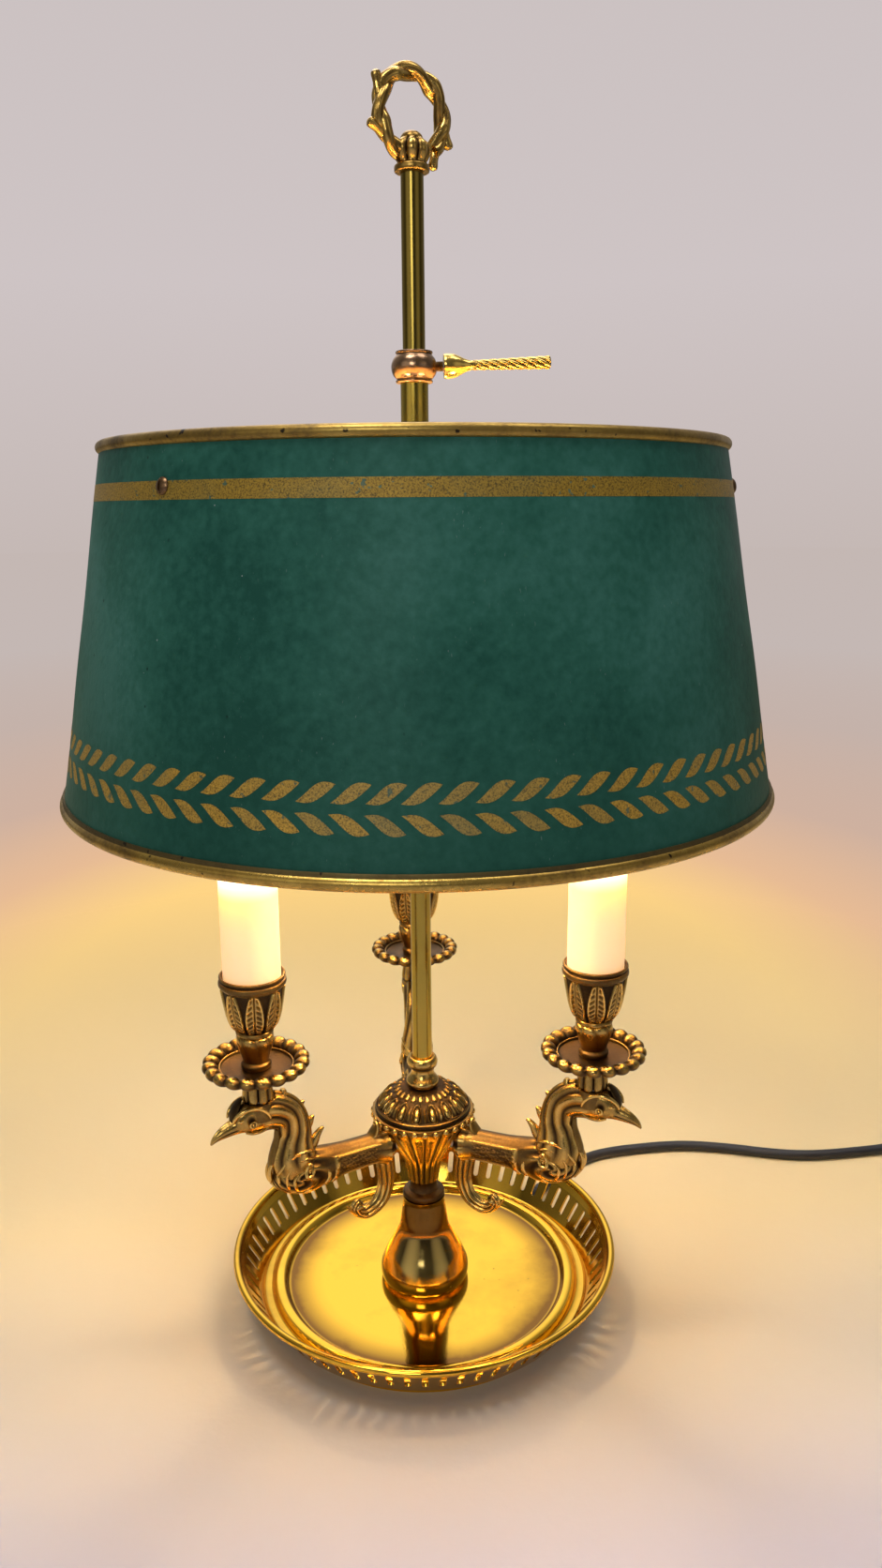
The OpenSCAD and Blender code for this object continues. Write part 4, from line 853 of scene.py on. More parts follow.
@dataclass
class Flex:
    """The mains cord with its relief, coil, tie, switch and plug."""

    radius: float = 3.1
    lie: float = 3.15
    exit_degrees: float = 47.0
    exit_from: float = 95.5
    coil_at: tuple[float, float] = (380.0, 48.0)
    coil_outer: float = 43.6
    pitch: float = 6.3
    low: float = 4.0
    high: float = 10.25
    turns: float = 3.0
    switch_x: tuple[float, float] = (332.0, 392.0)
    switch_y: float = 108.0
    switch_z: float = 7.2
    plug_x: float = 426.5
    plug_y: float = 6.0
    plug_z: float = 7.2

    def coil(self) -> Array:
        """The wound turns: the radius falls by one pitch a turn on the lower layer, then grows by one a turn
        on the upper, while the angle runs clockwise at an even rate."""
        t = np.linspace(0.0, 2 * self.turns, int(2 * self.turns * 36) + 1)
        r = self.coil_outer - self.pitch * (self.turns - np.abs(self.turns - t))
        r += self.pitch / 2 * (1 - ease(np.minimum(t, 2 * self.turns - t), 0.0, 0.3))
        z = self.low + (self.high - self.low) * ease(t, self.turns - 0.16, self.turns + 0.16)
        a = -TAU * t
        return stack(self.coil_at[0] + r * np.cos(a), self.coil_at[1] + r * np.sin(a), z)

    @property
    def way(self) -> Array:
        """The direction in which the cord leaves the foot."""
        a = math.radians(self.exit_degrees)
        return np.array([math.cos(a), math.sin(a)])

    def route(self) -> Array:
        """The whole middle line: out of the relief, over the table, through the switch, round the coil and
        into the plug."""
        side = self.coil_at[0] + self.coil_outer + self.pitch / 2
        lie, mid, y = self.lie, self.switch_z, self.switch_y
        first = [[*(d * self.way), lie] for d in (self.exit_from, 105.0, 115.0)]
        table = [[84, 90], [92, 98], [102, 107], [114, 114], [128, 118], [142, 120], [158, 121.5], [174, 121.5],
                 [190, 119], [206, 115], [222, 110], [238, 106], [254, 104.5], [270, 105], [286, 106.5]]
        laid = [[x, q, lie] for x, q in table]
        lift = [[298, 107.5, 3.4], [307, y, 4.6], [316, y, 6.2], [323, y, 7.0], [327.5, y, mid],
                [self.switch_x[0], y, mid], [352, y, mid], [372, y, mid], [self.switch_x[1], y, mid], [396.5, y, mid],
                [404, 106.8, 6.4], [412, 103.2, 5.0], [419, 97, 4.0], [424, 89, 3.8], [side, 78, self.low],
                [side, 64, self.low]]
        start = flow(first + laid + lift, 3)
        top = self.high
        away = flow([[side, 40, top - 0.1], [side, 32, 9.4], [self.plug_x, 24, 8.2], [self.plug_x, 16, 7.4],
                     [self.plug_x, 10, self.plug_z], [self.plug_x, self.plug_y, self.plug_z]], 3)
        return np.vstack([start, self.coil(), away])

    def build(self) -> None:
        path = self.route()
        length = float(np.linalg.norm(np.diff(path, axis=0), axis=1).sum())
        cord = put("cord_flex", carry(path, self.radius, 20), RUBBER, "cord", "cord_coil")
        relief, tie = self.relief(), self.tie()
        pieces = [tie, *self.switch(), *self.plug()]
        LOG.info("cord %.0f mm, relief %s", length, relief.name)

    def relief(self) -> bpy.types.Object:
        """A tapered rubber sleeve with grooves, from the foot hoop to the open table."""
        d = np.linspace(66.0, 115.0, 90)
        r = 3.85 + (3.45 - 3.85) * ((d - 66.0) / 49.0)
        line = stack(*(d * w for w in self.way), r + 0.05)

        def rings(a: Array, t: Array) -> Rise:
            """Shallow grooves round the sleeve."""
            cut = bump((t * 14) % 1.0, 0.5, 0.3) * ease(t, 0.35, 0.45)
            return -0.25 * cut, np.full_like(t, 0.4)

        return put("relief_sleeve", carry(line, r, 28, relief=rings), RUBBER, "cord_relief")

    def tie(self) -> bpy.types.Object:
        """A flat band round the turns, with rounded corners: a squared circle whose axes are raised to the
        power 0.35."""
        mid, half_w = self.coil_at[0] - 34.1, 4.5
        a = around(64)
        rows = []
        for y, grow in ((-half_w, 0.0), (-half_w, 0.75), (-half_w + 0.3, 0.85), (half_w - 0.3, 0.85), (half_w, 0.75),
                        (half_w, 0.0)):
            x = mid + (9.95 + grow) * squared(np.cos(a), 0.35)
            z = 7.2 + (6.3 + grow) * squared(np.sin(a), 0.35)
            rows.append(stack(x, self.coil_at[1] + y, np.maximum(z, 0.05)))
        return put("tie_band", Skin.grid(np.stack(rows), loop=True), PLASTIC, "coil_tie", slot="black_cord")

    def switch(self) -> list[bpy.types.Object]:
        """The in-line switch: a long rounded case with a seam and cable necks, and its rocker."""
        x0, x1 = self.switch_x
        mid = (x0 + x1) / 2
        u = np.linspace(-1, 1, 61)
        u = u[np.abs(u) <= 0.96]
        size = 0.62 + 0.38 * np.sqrt(np.clip(1 - np.clip((np.abs(u) - 0.72) / 0.24, 0, 1) ** 2, 0.0, 1))
        wide = (7.6 + 4.3 * bump(u, 0.0, 0.85)) * size
        a = around(72)
        across, upward = (squared(f, 0.5) for f in (np.cos(a), np.sin(a)))
        seam = 0.25 * bump(np.sin(a), 0.0, 0.08)
        y = self.switch_y + wide[:, None] * (across * (1 - 0.03 * seam))
        z = 7.25 + (7.2 * size)[:, None] * upward
        rows = stack((mid + 30 * u)[:, None], y, z)

        def rings(a: Array, t: Array) -> Rise:
            """Grooves round the necks."""
            return -0.35 * bump((t * 4) % 1.0, 0.5, 0.3), np.full_like(t, 0.4)

        necks = [carry(stack(np.linspace(*ends, 24), self.switch_y, self.switch_z), 4.6, 28, relief=rings)
                 for ends in ((x0, x0 + 9), (x1 - 9, x1))]
        case = put("switch_case", Skin.join([Skin.grid(rows), *necks]), PLASTIC, "switch_body")
        return [case, self.rocker(mid)]

    def rocker(self, mid: float) -> bpy.types.Object:
        """The rocker: a bowed key whose top is hollowed at both ends, tipped to its ON side."""
        u = np.linspace(-6.0, 6.0, 33)
        outline = np.vstack([stack(u, 6.85 - 0.028 * u**2), stack(u[::-1], 1.0)])
        x, z = swing(outline[:, 0], outline[:, 1], math.radians(-7.0))
        rows = [stack(mid + x * k, self.switch_y + y, 8.4 + z * k)
                for y, k in ((-4.5, 0.96), (-4.3, 1.0), (4.3, 1.0), (4.5, 0.96))]
        return put("rocker_key", Skin.grid(np.stack(rows)), PLASTIC, "switch_rocker", body=Body.ROCKER)

    def plug(self) -> list[bpy.types.Object]:
        """The two-pin plug: a body that widens from its ribbed neck to a flat face, and two round pins."""
        stations = flow([[-12, 4.2, 4.2], [-8, 4.6, 4.6], [0, 6.4, 6.0], [4, 9.6, 6.8], [10, 12.2, 7.1],
                         [20, 12.9, 7.1], [28, 12.9, 7.1], [35, 12.8, 6.9], [36, 12.0, 6.2]], 8)
        a = around(64)
        c, s = (squared(f, 0.7) for f in (np.cos(a), np.sin(a)))
        groove = 0.3 * bump((stations[:, :1] / 3.0) % 1.0, 0.5, 0.3) * (1 - ease(stations[:, :1], -2.0, 0.0))
        x = self.plug_x + (stations[:, 1:2] - groove) * c
        z = self.plug_z + (stations[:, 2:3] - groove) * s
        body = put("plug_case", Skin.grid(stack(x, -self.plug_y - stations[:, :1], z)), PLASTIC, "plug_body")
        r, y = (v[:, None] for v in np.array(
            ((2.0, -34.5), (2.0, -59.6), (1.8, -60.6), (1.2, -61.0), (0.0, -61.0))).T)
        pins = [Skin.grid(stack(self.plug_x + side + r * np.cos(a[::2]), y, self.plug_z + r * np.sin(a[::2])))
                for side in (-9.3, 9.3)]
        return [body, put("plug_blades", Skin.join(pins), STEEL, "plug_pins")]


# ---- Base and column --------------------------------------------------------------------------------


@dataclass
class Tray:
    """The dished base: mirror floor, raised step, moat, slotted wall and rolled rim."""

    slots: int = 70
    floor: float = 8.4
    sheet: float = 1.2
    foot: tuple[float, float] = (84.8, 9.0)
    lip: tuple[float, float] = (96.8, 28.0)
    slot_w: float = 2.9
    slot_len: float = 12.0
    slot_at: float = 9.6

    def dish(self) -> Skin:
        """The sheet from the centre hole to the foot of the wall, as one closed outline: its upper face out and its
        lower face back. The floor rises a little to the step as the square of the way there. It is darkest just inside
        the step: brown stains grow over the outer floor, and a painted shadow lies along the step's foot. The moat
        beyond is lightly tarnished."""
        f = self.floor
        r = np.linspace(24.0, 70.6, 12)
        top = np.vstack([
            [[4.1, f], [14.0, f]], stack(r, f + 0.9 * ((r - 24.0) / 47.0) ** 2),
            flow([[71.6, f + 0.95], [72.4, f + 1.3], [73.2, f + 2.6], [74.2, f + 3.8], [75.6, f + 4.2], [77.2, f + 4.2],
                  [78.8, f + 3.7], [79.8, f + 2.3], [80.4, f + 1.0], [81.2, f + 0.6]], 4),
            [[82.4, 9.0], [83.6, 9.02], [84.4, 9.3], self.foot]])
        under = top + self.sheet * outward(top)
        skin = revolve(np.vstack([top, under[::-1]])[::-1], 240, loop=True)
        out = np.hypot(skin.points[:, 0], skin.points[:, 1])
        floor = 0.85 * ease(out, 54.0, 71.0) * (out < 71.5)
        # the bump at 71.6 mm is a painted shadow at the step's foot; the floor term is brown stain
        skin.age = 0.28 * ease(out, 78.5, 80.5) + 0.5 * bump(out, 71.6, 1.8) + floor
        return skin

    def wall(self) -> Skin:
        """The wall as cells, one round each slot. A cell's inner edge runs round the slot, two half circles
        and two straights, and its outer edge runs round a rectangle with a sample at each corner, so that
        neighbours meet. Both are laid on the cone of the wall, outside and inside."""
        foot, lip = np.array(self.foot), np.array(self.lip)
        long = float(np.linalg.norm(lip - foot))
        up = (lip - foot) / long
        out = np.array([up[1], -up[0]])
        mid = self.slot_at / up[1]
        low, high = -mid, long - mid
        pitch = TAU / self.slots
        r0, straight = self.slot_w / 2, (self.slot_len - self.slot_w) / 2
        q = np.linspace(0, np.pi, 9)
        side = np.linspace(-1, 1, 5)[1:-1]
        inner = np.vstack([
            stack(r0 * np.cos(q), straight + r0 * np.sin(q)), stack(-r0, -straight * side),
            stack(-r0 * np.cos(q), -straight - r0 * np.sin(q)), stack(r0, straight * side)])
        across = np.array([1.0, 1.0, 1.0, 0.5, 0.0, -0.5, -1.0, -1.0, -1.0])
        rise = np.array([straight, straight + 1.6, high, high, high, high, high, straight + 1.6, straight])
        fall = np.array([straight, straight + 0.6, -low, -low, -low, -low, -low, straight + 0.6, straight])
        outer = np.vstack([
            stack(across, rise), stack(-1.0, -straight * side), stack(-across, -fall), stack(1.0, straight * side)])
        rows = []
        for share, deep in ((1.0, 0.0), (0.0, 0.0), (0.0, self.sheet), (1.0, self.sheet)):
            y = inner[:, 1] + (outer[:, 1] - inner[:, 1]) * share
            r = foot[0] + up[0] * (y + mid) + out[0] * deep
            z = foot[1] + up[1] * (y + mid) + out[1] * deep
            turn = outer[:, 0] * pitch / 2 * share + inner[:, 0] / r * (1 - share)
            a = turn[None, :] + pitch * np.arange(self.slots)[:, None]
            rows.append(stack(r * np.cos(a), r * np.sin(a), z))
        size = len(rows) * len(inner)
        cell = lattice(len(rows), len(inner))
        quads = (cell[None] + (size * np.arange(self.slots))[:, None, None]).reshape(-1, 4)
        return Skin(np.stack(rows, 1).reshape(-1, 3), quads, np.full(self.slots * size, 0.42))

    def build(self) -> None:
        """Makes the dish with its rolled rim, and the pierced wall."""
        band = flow([[94.6, 24.6], [95.6, 26.3], [96.3, 27.6], [96.6, 28.9], [97.2, 29.7], [98.5, 30.0], [99.7, 29.5],
                     [100.2, 28.4], [99.9, 27.2], [99.0, 26.7], [97.6, 26.4], [96.6, 25.6], [95.8, 24.2]], 5)
        rim = revolve(band[::-1], 240, loop=True, age=0.2)
        put("tray_dish", Skin.join([self.dish(), rim]), TRAY_BRASS, "tray")
        put("tray_wall", self.wall(), TRAY_BRASS, "tray", crease=40.0)


@dataclass
class Column:
    """Bell foot, collar, fluted cup, beaded ring, domed cap, rod collar and rod."""

    bell: Table = (
        (22.04, 8.4), (22.9, 10.6), (23.2, 13.58), (22.9, 16.2), (22.04, 18.53), (19.72, 23.7), (16.94, 28.9),
        (13.46, 36.2), (12.3, 41.8), (10.8, 52.7), (11.02, 55.5))
    flutes: int = 18
    beads: int = 30

    def fluting(self, theta: Array, s: Array) -> Rise:
        """Convex staves parted by narrow grooves: the rise is a power of the cosine of the stave's angle, just
        under its square root, and the grooves fade at the top under the beads."""
        stave = np.abs(np.cos(theta * self.flutes / 2))
        groove = stave**0.45
        fade = 1 - 0.55 * ease(s, 0.92, 1.0)
        return (groove - 1) * 1.25 * fade, np.clip(0.95 - 0.85 * groove, 0, 1)

    def cap_relief(self, theta: Array, s: Array) -> Rise:
        """Egg-and-dart round the slope and small petals above it. An egg is a raised oval inside a raised
        loop; a dart stands between two eggs; a petal is a raised drop."""
        eggs, petals = 16, 24
        x = ((theta * eggs / TAU) % 1.0) - 0.5
        v = (s - 0.50) / 0.16
        d = np.sqrt((x / 0.30) ** 2 + v**2)
        egg = 1.15 * np.sqrt(np.clip(1 - (d / 0.62) ** 2, 0, 1))
        loop = 0.8 * bump(d, 0.92, 0.2)
        dart = 1.0 * bump(np.abs(x), 0.5, 0.11) * bump(s, 0.49, 0.15)
        y = ((theta * petals / TAU) % 1.0) - 0.5
        petal = 0.75 * np.clip(1 - (y / 0.34) ** 2 - ((s - 0.79) / 0.09) ** 2, 0, 1) ** 0.5
        rise = np.maximum(np.maximum(egg, loop), np.maximum(dart, petal))
        wire = bump(s, 0.235, 0.03)
        return rise - 0.35, np.clip(0.92 - 0.85 * rise - 0.7 * wire, 0, 1)

    def build(self) -> None:
        """Makes the column's pieces from the bottom up."""
        # The bell darkens towards its top: painted reflection of the dark collar and cup above it.
        put("bell", revolve(flow(self.bell, 8), 160, tarnish_and_painted_shade(0.08, 0.5, 0.42, 0.8)), BELL_BRASS, "bell_foot")
        collar = flow([[8.0, 55.5], [9.6, 55.55], [10.6, 56.1], [10.9, 57.2], [10.5, 58.5], [8.7, 59.3], [7.5, 59.9],
                       [7.0, 62.4], [7.1, 64.4], [7.6, 65.6]], 5)
        put("neck", revolve(collar, 96, age=0.8), BRONZE, "disc_collar", slot="antique_brass")
        self.cup()
        self.cap()
        # The rod darkens towards its top: painted shade on its upper part, over an even tarnish.
        rod = [[4.05, 128.8], *([5.0, z] for z in (128.8, 200.0, 300.0, 400.0, 500.0, 548.8)), [4.05, 548.8]]
        put("upright", revolve(rod, 96, tarnish_and_painted_shade(0.35, 0.45, 0.5, 0.8)), ROD_BRASS, "rod")

    def cup(self) -> None:
        """The fluted cup and the beaded ring on it."""
        shape = [(8.0, 65.7), (8.5, 69.4), (10.0, 76.77), (12.25, 81.57), (17.0, 88.95), (21.0, 95.2), (23.9, 99.65),
                 (25.0, 102.6)]
        put("fluted_cup", revolve(flow(shape, 10), self.flutes * 20, self.fluting), ANTIQUE, "hub_cup")
        ring = revolve(flow([[20.0, 102.6], [24.2, 102.6], [24.4, 103.4], [24.6, 104.6], [25.6, 104.8], [25.9, 105.4],
                             [25.5, 106.0], [20.0, 106.0]], 4), 120, age=0.5)
        beads = [ball((25.3 * math.cos(a), 25.3 * math.sin(a), 103.9), 1.8, 14) for a in
                 (TAU * (k + 0.5) / self.beads for k in range(self.beads))]
        put("beads", Skin.join([ring, *beads]), ANTIQUE, "bead_ring")

    def cap(self) -> None:
        """The domed cap with its ornament, and the collar that holds the rod."""
        line = flow([[20.0, 106.0], [24.4, 106.0], [25.0, 106.9], [24.7, 108.2], [23.7, 109.0], [22.9, 108.7],
                     [22.3, 109.6], [20.6, 111.8], [18.5, 113.8], [16.6, 115.4], [15.0, 116.1], [14.2, 116.5],
                     [12.0, 118.0], [9.6, 118.4], [7.5, 118.6]], 8)
        put("domed_cap", revolve(line, 364, self.cap_relief), ANTIQUE, "hub_cap")
        turn = flow([[6.6, 0], [7.0, 0.1], [7.9, 0.7], [8.3, 2.0], [8.1, 3.4], [6.5, 5.8],
                     [5.7, 7.8], [5.8, 9.6], [6.2, 10.2], [7.2, 11.0], [7.7, 12.4], [7.8, 13.6],
                     [7.4, 15.0], [6.8, 15.9], [6.0, 16.2], [5.2, 15.4]], 5) + [0, 118.6]

        def dark(theta: Array, s: Array) -> Rise:
            """Dark in the waist under the bead."""
            return np.zeros_like(s), 0.15 + 0.7 * bump(s, 0.55, 0.16)

        put("rod_seat", revolve(turn, 96, dark), ANTIQUE, "rod_collar")


# ---- Arms -------------------------------------------------------------------------------------------


@dataclass
class BirdArm:
    """One cast arm: a carved bar, the bird's breast, neck and head, and the reeded scroll below."""

    side: Side
    top: float = 138.5
    bar: Table = (
        (20, 91.8, 6.4, 6.4), (23, 91.8, 7.5, 7.6), (28, 92.1, 7.8, 7.3), (38, 92.4, 8, 7), (49, 92.8, 8.4, 7.2),
        (59, 93, 9.8, 8.3), (67, 93.4, 10.7, 9.2), (74.5, 94, 9.7, 9.3), (80.5, 95, 7.2, 7.6), (84.4, 96.2, 3.8, 4.4),
        (85.8, 96.8, 1, 1.2))
    neck: Table = (
        (74, 93.8, 10.6, 8.4), (74.5, 102, 11.4, 8.8), (73.8, 111.5, 8.8, 7.2), (73.8, 119, 7.8, 6.4),
        (77.5, 127, 8, 6.2), (86, 131.3, 9, 6.6), (93.5, 131.3, 9.2, 6.5), (99.5, 129.8, 7.4, 5.5),
        (103.2, 128.3, 4.3, 4.0), (107, 127.3, 3.3, 3.1), (110.3, 126.2, 2.6, 2.4), (113.2, 124.6, 1.6, 1.5),
        (115.6, 122.3, 0.4, 0.4))
    scroll: Table = (
        (24.4, 86.8, 4.0, 4.2), (23.6, 81.5, 3.9, 4.2), (22.9, 75, 3.7, 4.0), (23.4, 68.5, 3.4, 3.8),
        (26, 62.5, 3.0, 3.4), (30.3, 58.9, 2.7, 3.1), (35, 57.4, 2.3, 2.8), (39, 58.8, 2, 2.6), (41.2, 62.0, 1.8, 2.2),
        (39.6, 64.4, 1.5, 1.8), (37.4, 62.8, 1.2, 1.4))
    thorns: tuple[Table, ...] = (
        ((68.5, 103.0, 3.4, 2.6), (63.8, 106.2, 2.8, 2.1), (61.4, 109.9, 2.0, 1.7), (59.2, 112.2, 1.3, 1.3),
         (57.6, 112.8, 0.6, 0.7)),
        ((71.0, 113.4, 3.8, 2.4), (66.6, 116.6, 2.8, 1.9), (64.2, 119.6, 1.7, 1.5), (62.6, 120.9, 0.5, 0.6)),
        ((75.0, 122.6, 4.0, 2.6), (71.6, 126.2, 3.0, 2.2), (69.3, 129.2, 1.7, 1.6), (67.6, 130.2, 0.6, 0.8)),
        ((83, 130, 3.4, 3.6), (80.4, 134.4, 3.2, 3.4), (78.6, 137.4, 2.4, 2.4), (78.4, 139.6, 1.1, 1.3)))

    @staticmethod
    def bar_relief(a: Array, s: Array) -> Rise:
        """Along the bar: leaf folds by the hub, a framed pitted panel on each flank whose pits are sines of
        sines, then bands of a spiral on the breast."""
        from_side = np.abs(np.pi / 2 - np.abs(((a + np.pi / 2) % np.pi) - np.pi / 2))
        folds = 0.6 * np.cos(7 * a) * (1 - ease(s, 0.06, 0.2))
        inside = ease(s, 0.16, 0.18) * (1 - ease(s, 0.44, 0.46))
        frame_u = (bump(s, 0.17, 0.02) + bump(s, 0.45, 0.02)) * (from_side < 0.68)
        panel = 0.6 * np.maximum(frame_u, bump(from_side, 0.62, 0.13) * inside)
        pits = np.sin(s * 190 + 3 * np.sin(a * 19)) * np.sin(a * 33 + 2.5 * np.sin(s * 130))
        rough = 0.32 * inside * (from_side < 0.5) * pits
        u = (s - 0.70) * 6.0
        way = np.where(a < np.pi, 1.0, -1.0)
        v = (np.where(a < np.pi, a, TAU - a) - np.pi / 2) * 1.6
        feather = np.cos(way * np.arctan2(v * way, u) * 3 + np.hypot(u, v) * 7.5)
        breast = 0.45 * np.abs(feather) ** 0.6 * np.sign(feather) * ease(s, 0.48, 0.6) * (1 - ease(s, 0.9, 1.0))
        rise = folds + panel + rough + breast
        return rise, np.clip(0.66 - 0.95 * rise, 0.0, 1.0)

    @staticmethod
    def neck_relief(a: Array, s: Array) -> Rise:
        """Broad S-shaped strands from behind the eye down the neck, a smooth crown with a hollow for the eye,
        a mouth line and a ridge along the beak."""
        turned = ((a + np.pi) % TAU) - np.pi
        wave = np.abs(turned) * 4.4 - 2.6 * np.sin(TAU * s * 1.55 + 0.4) - 5.0 * s
        crest = np.abs(np.cos(wave)) ** 0.8
        on = ease(s, 0.02, 0.12) * (1 - ease(s, 0.43, 0.5))
        strands = 1.15 * crest * on
        fine = 0.16 * np.abs(np.cos(wave * 3)) * on
        mouth = bump(np.abs(turned), 1.75, 0.2) * ease(s, 0.66, 0.7) * (1 - ease(s, 0.97, 1.0))
        ridge = bump(turned, 0.0, 0.4) * ease(s, 0.64, 0.74) * (1 - ease(s, 0.96, 1.0))
        socket = bump(np.abs(turned), 1.5, 0.5) * bump(s, 0.545, 0.04)
        rise = strands + fine - 0.45 * on - 0.45 * mouth + 0.4 * ridge - 0.7 * socket
        base = 0.26 + 0.78 * on
        return rise, np.clip(base - 0.75 * strands - 0.5 * fine + 0.9 * mouth - 0.3 * ridge + 0.75 * socket, 0, 1)

    @staticmethod
    def reeds(a: Array, s: Array) -> Rise:
        """Reeds along the scroll, three to a flank."""
        rise = 1.0 * np.abs(np.cos(4 * a)) ** 0.8 * ease(s, 0.0, 0.06) * (1 - ease(s, 0.85, 1.0))
        return rise - 0.3, np.clip(0.9 - 1.1 * rise, 0, 1)

    def flank(self, x: Array, z: Array) -> Array:
        """Half width of the breast and bar at a place seen from the side: an oval section through the
        smoothed stations."""
        s = flow(self.bar, 12)
        s = s[np.argsort(s[:, 0])]
        zc, hh, hw = (np.interp(x, s[:, 0], s[:, k]) for k in (1, 2, 3))
        bar = hw * np.sqrt(np.clip(1 - ((z - zc) / hh) ** 2, 0.02, 1))
        n = flow(self.neck[:4], 12)
        xc, nh, nw = (np.interp(z, n[:, 1], n[:, k]) for k in (0, 2, 3))
        neck = nw * np.sqrt(np.clip(1 - ((x - xc) / nh) ** 2, 0.02, 1)) * (z > 93.8)
        return np.maximum(bar, neck)

    def curl(self, line: Sequence[Sequence[float]], thick: float, side: int, lift: float = 0.1) -> Skin:
        """A carved curl: a tapered round bead laid on the flank along a line seen from the side.

        Args:
            line: Points (x, z).
            thick: Its largest radius.
            side: +1 or -1 for the flank.
            lift: How far its middle stands off the flank.

        Returns:
            The skin.
        """
        p = flow(line, 8)
        y = side * (self.flank(p[:, 0], p[:, 1]) + lift)
        t = np.linspace(0, 1, len(p))
        swell = 0.25 + 0.75 * np.sin(np.pi * np.clip(t * 0.9 + 0.08, 0, 1)) ** 0.8
        return carry(stack(p[:, 0], y, p[:, 1]), thick * swell, 10, up=SIDEWAYS, age=0.08)

    def head_details(self) -> list[Skin]:
        """The leaf before the stub, then brow, lid, eye, cheek and nostril on both flanks of the head."""
        parts = [limb(((104.9, 130.4, 1.0, 2.0), (104.2, 134.2, 1.1, 3.2), (102.2, 138.0, 1.0, 3.0),
                       (99.7, 141.2, 0.5, 1.2)), age=0.9)]
        brow = flow([[105.6, 131.4, 3.4], [104.4, 134.2, 4.0], [101.4, 136.6, 4.9], [97.4, 137.6, 5.9],
                     [93.0, 136.6, 6.6], [89.8, 133.8, 7.0], [88.2, 130.6, 7.0]], 8)
        cheek = flow([[99.5, 125.4, 4.2], [96.0, 123.9, 4.4], [91.6, 124.2, 4.9], [88.0, 126.0, 5.2]], 8)
        swell = 1.15 * np.sin(np.pi * (0.06 + 0.88 * np.linspace(0, 1, len(brow)))) ** 0.6
        a = around(28)
        for y in (-1, 1):
            ring = stack(96.8 + 1.45 * np.cos(a), y * 6.5, 129.6 + 1.45 * np.sin(a))
            parts += [
                carry(stack(brow[:, 0], y * brow[:, 2], brow[:, 1]), swell, 12, up=SIDEWAYS, age=0.0),
                ball((101.4, y * 4.3, 131.8), 1.0, 14, (2.3, 0.8, 0.9), age=0.0),
                carry(ring, 0.5, 10, up=SIDEWAYS, loop=True, age=0.0),
                ball((96.8, y * 6.3, 129.6), 0.7, 12, age=0.0),
                carry(stack(cheek[:, 0], y * cheek[:, 2], cheek[:, 1]), 0.7, 10, up=SIDEWAYS, age=0.1),
                ball((105.0, y * 3.0, 129.6), 0.6, 10, (1.7, 0.6, 0.6), age=0.95)]
        return parts

    def carving(self) -> list[Skin]:
        """Curls, crescents and volutes on the breast and shoulder."""
        curls = (
            ([[64.0, 103.4], [69.0, 107.2], [75.5, 107.8], [81.0, 105.2]], 1.0),
            ([[65.8, 101.2], [70.4, 104.0], [75.6, 104.0]], 0.8),
            ([[84.2, 106.5], [87.4, 100.4], [87.0, 94.4], [83.4, 88.4]], 1.1),
            ([[81.8, 104.0], [84.4, 98.6], [83.8, 93.2], [80.6, 87.6]], 1.0),
            ([[79.6, 101.2], [81.4, 96.6], [80.8, 92.0], [78.2, 87.2]], 0.8),
            ([[76.2, 97.6], [78.2, 94.8], [77.4, 91.4], [76.2, 88.6], [78.4, 86.6]], 1.0),
            ([[61.0, 86.6], [59.2, 90.4], [59.8, 94.6]], 1.2), ([[56.8, 85.6], [55.0, 89.2], [55.6, 93.4]], 1.0))
        parts = [self.curl(line, thick, y) for line, thick in curls for y in (-1, 1)]
        a = around(28)
        for y in (-1, 1):
            for (x, z), wide, tall, thick in (((70.2, 97.2), 2.0, 3.0, 0.85), ((70.2, 85.6), 1.3, 1.4, 0.65)):
                px = x + wide * np.cos(a) - 0.25 * wide * np.sin(a)
                pz = z + tall * np.sin(a) * (1 + 0.25 * np.sin(a))
                path = stack(px, y * (self.flank(px, pz) + 0.35), pz)
                parts.append(carry(path, thick, 10, up=SIDEWAYS, loop=True, age=0.0))
                at = float(self.flank(np.array([x]), np.array([z]))[0])
                parts.append(ball((x, y * (at + 0.1), z), 0.45 * wide, 10, age=0.2))
        parts.append(limb(((82.3, 119.6, 1.4, 1.2), (82.6, 114.8, 1.5, 2.2), (84.4, 109.6, 1.4, 2.6),
                           (86.3, 104.0, 1.1, 2.4), (87.2, 99.0, 0.5, 1.2)), age=0.55))
        return parts

    def collar(self) -> list[Skin]:
        """The flared leaf that joins the bar to the hub, with a curled tip on top."""
        def lobes(a: Array, s: Array) -> Rise:
            """Seven folds that open towards the hub."""
            rise = 0.9 * np.abs(np.cos(3.5 * a)) ** 0.6 * (1 - s)
            return rise, np.clip(0.7 - 0.7 * rise, 0, 1)

        skirt = limb(((24.2, 91.6, 8.6, 8.6), (26.5, 91.8, 8.1, 7.9), (29.5, 92.2, 7.8, 7.4), (32.5, 92.3, 7.3, 6.8)),
                     8, 84, lobes)
        tip = limb(((33.0, 98.2, 1.2, 2.6), (30.2, 100.0, 1.4, 3.8), (28.6, 102.4, 1.3, 3.4),
                    (28.0, 104.8, 1.0, 2.2)), age=0.45)
        return [skirt, tip, ball((28.2, 0, 105.2), 1.5, 14, (0.9, 1.5, 0.9), age=0.1)]

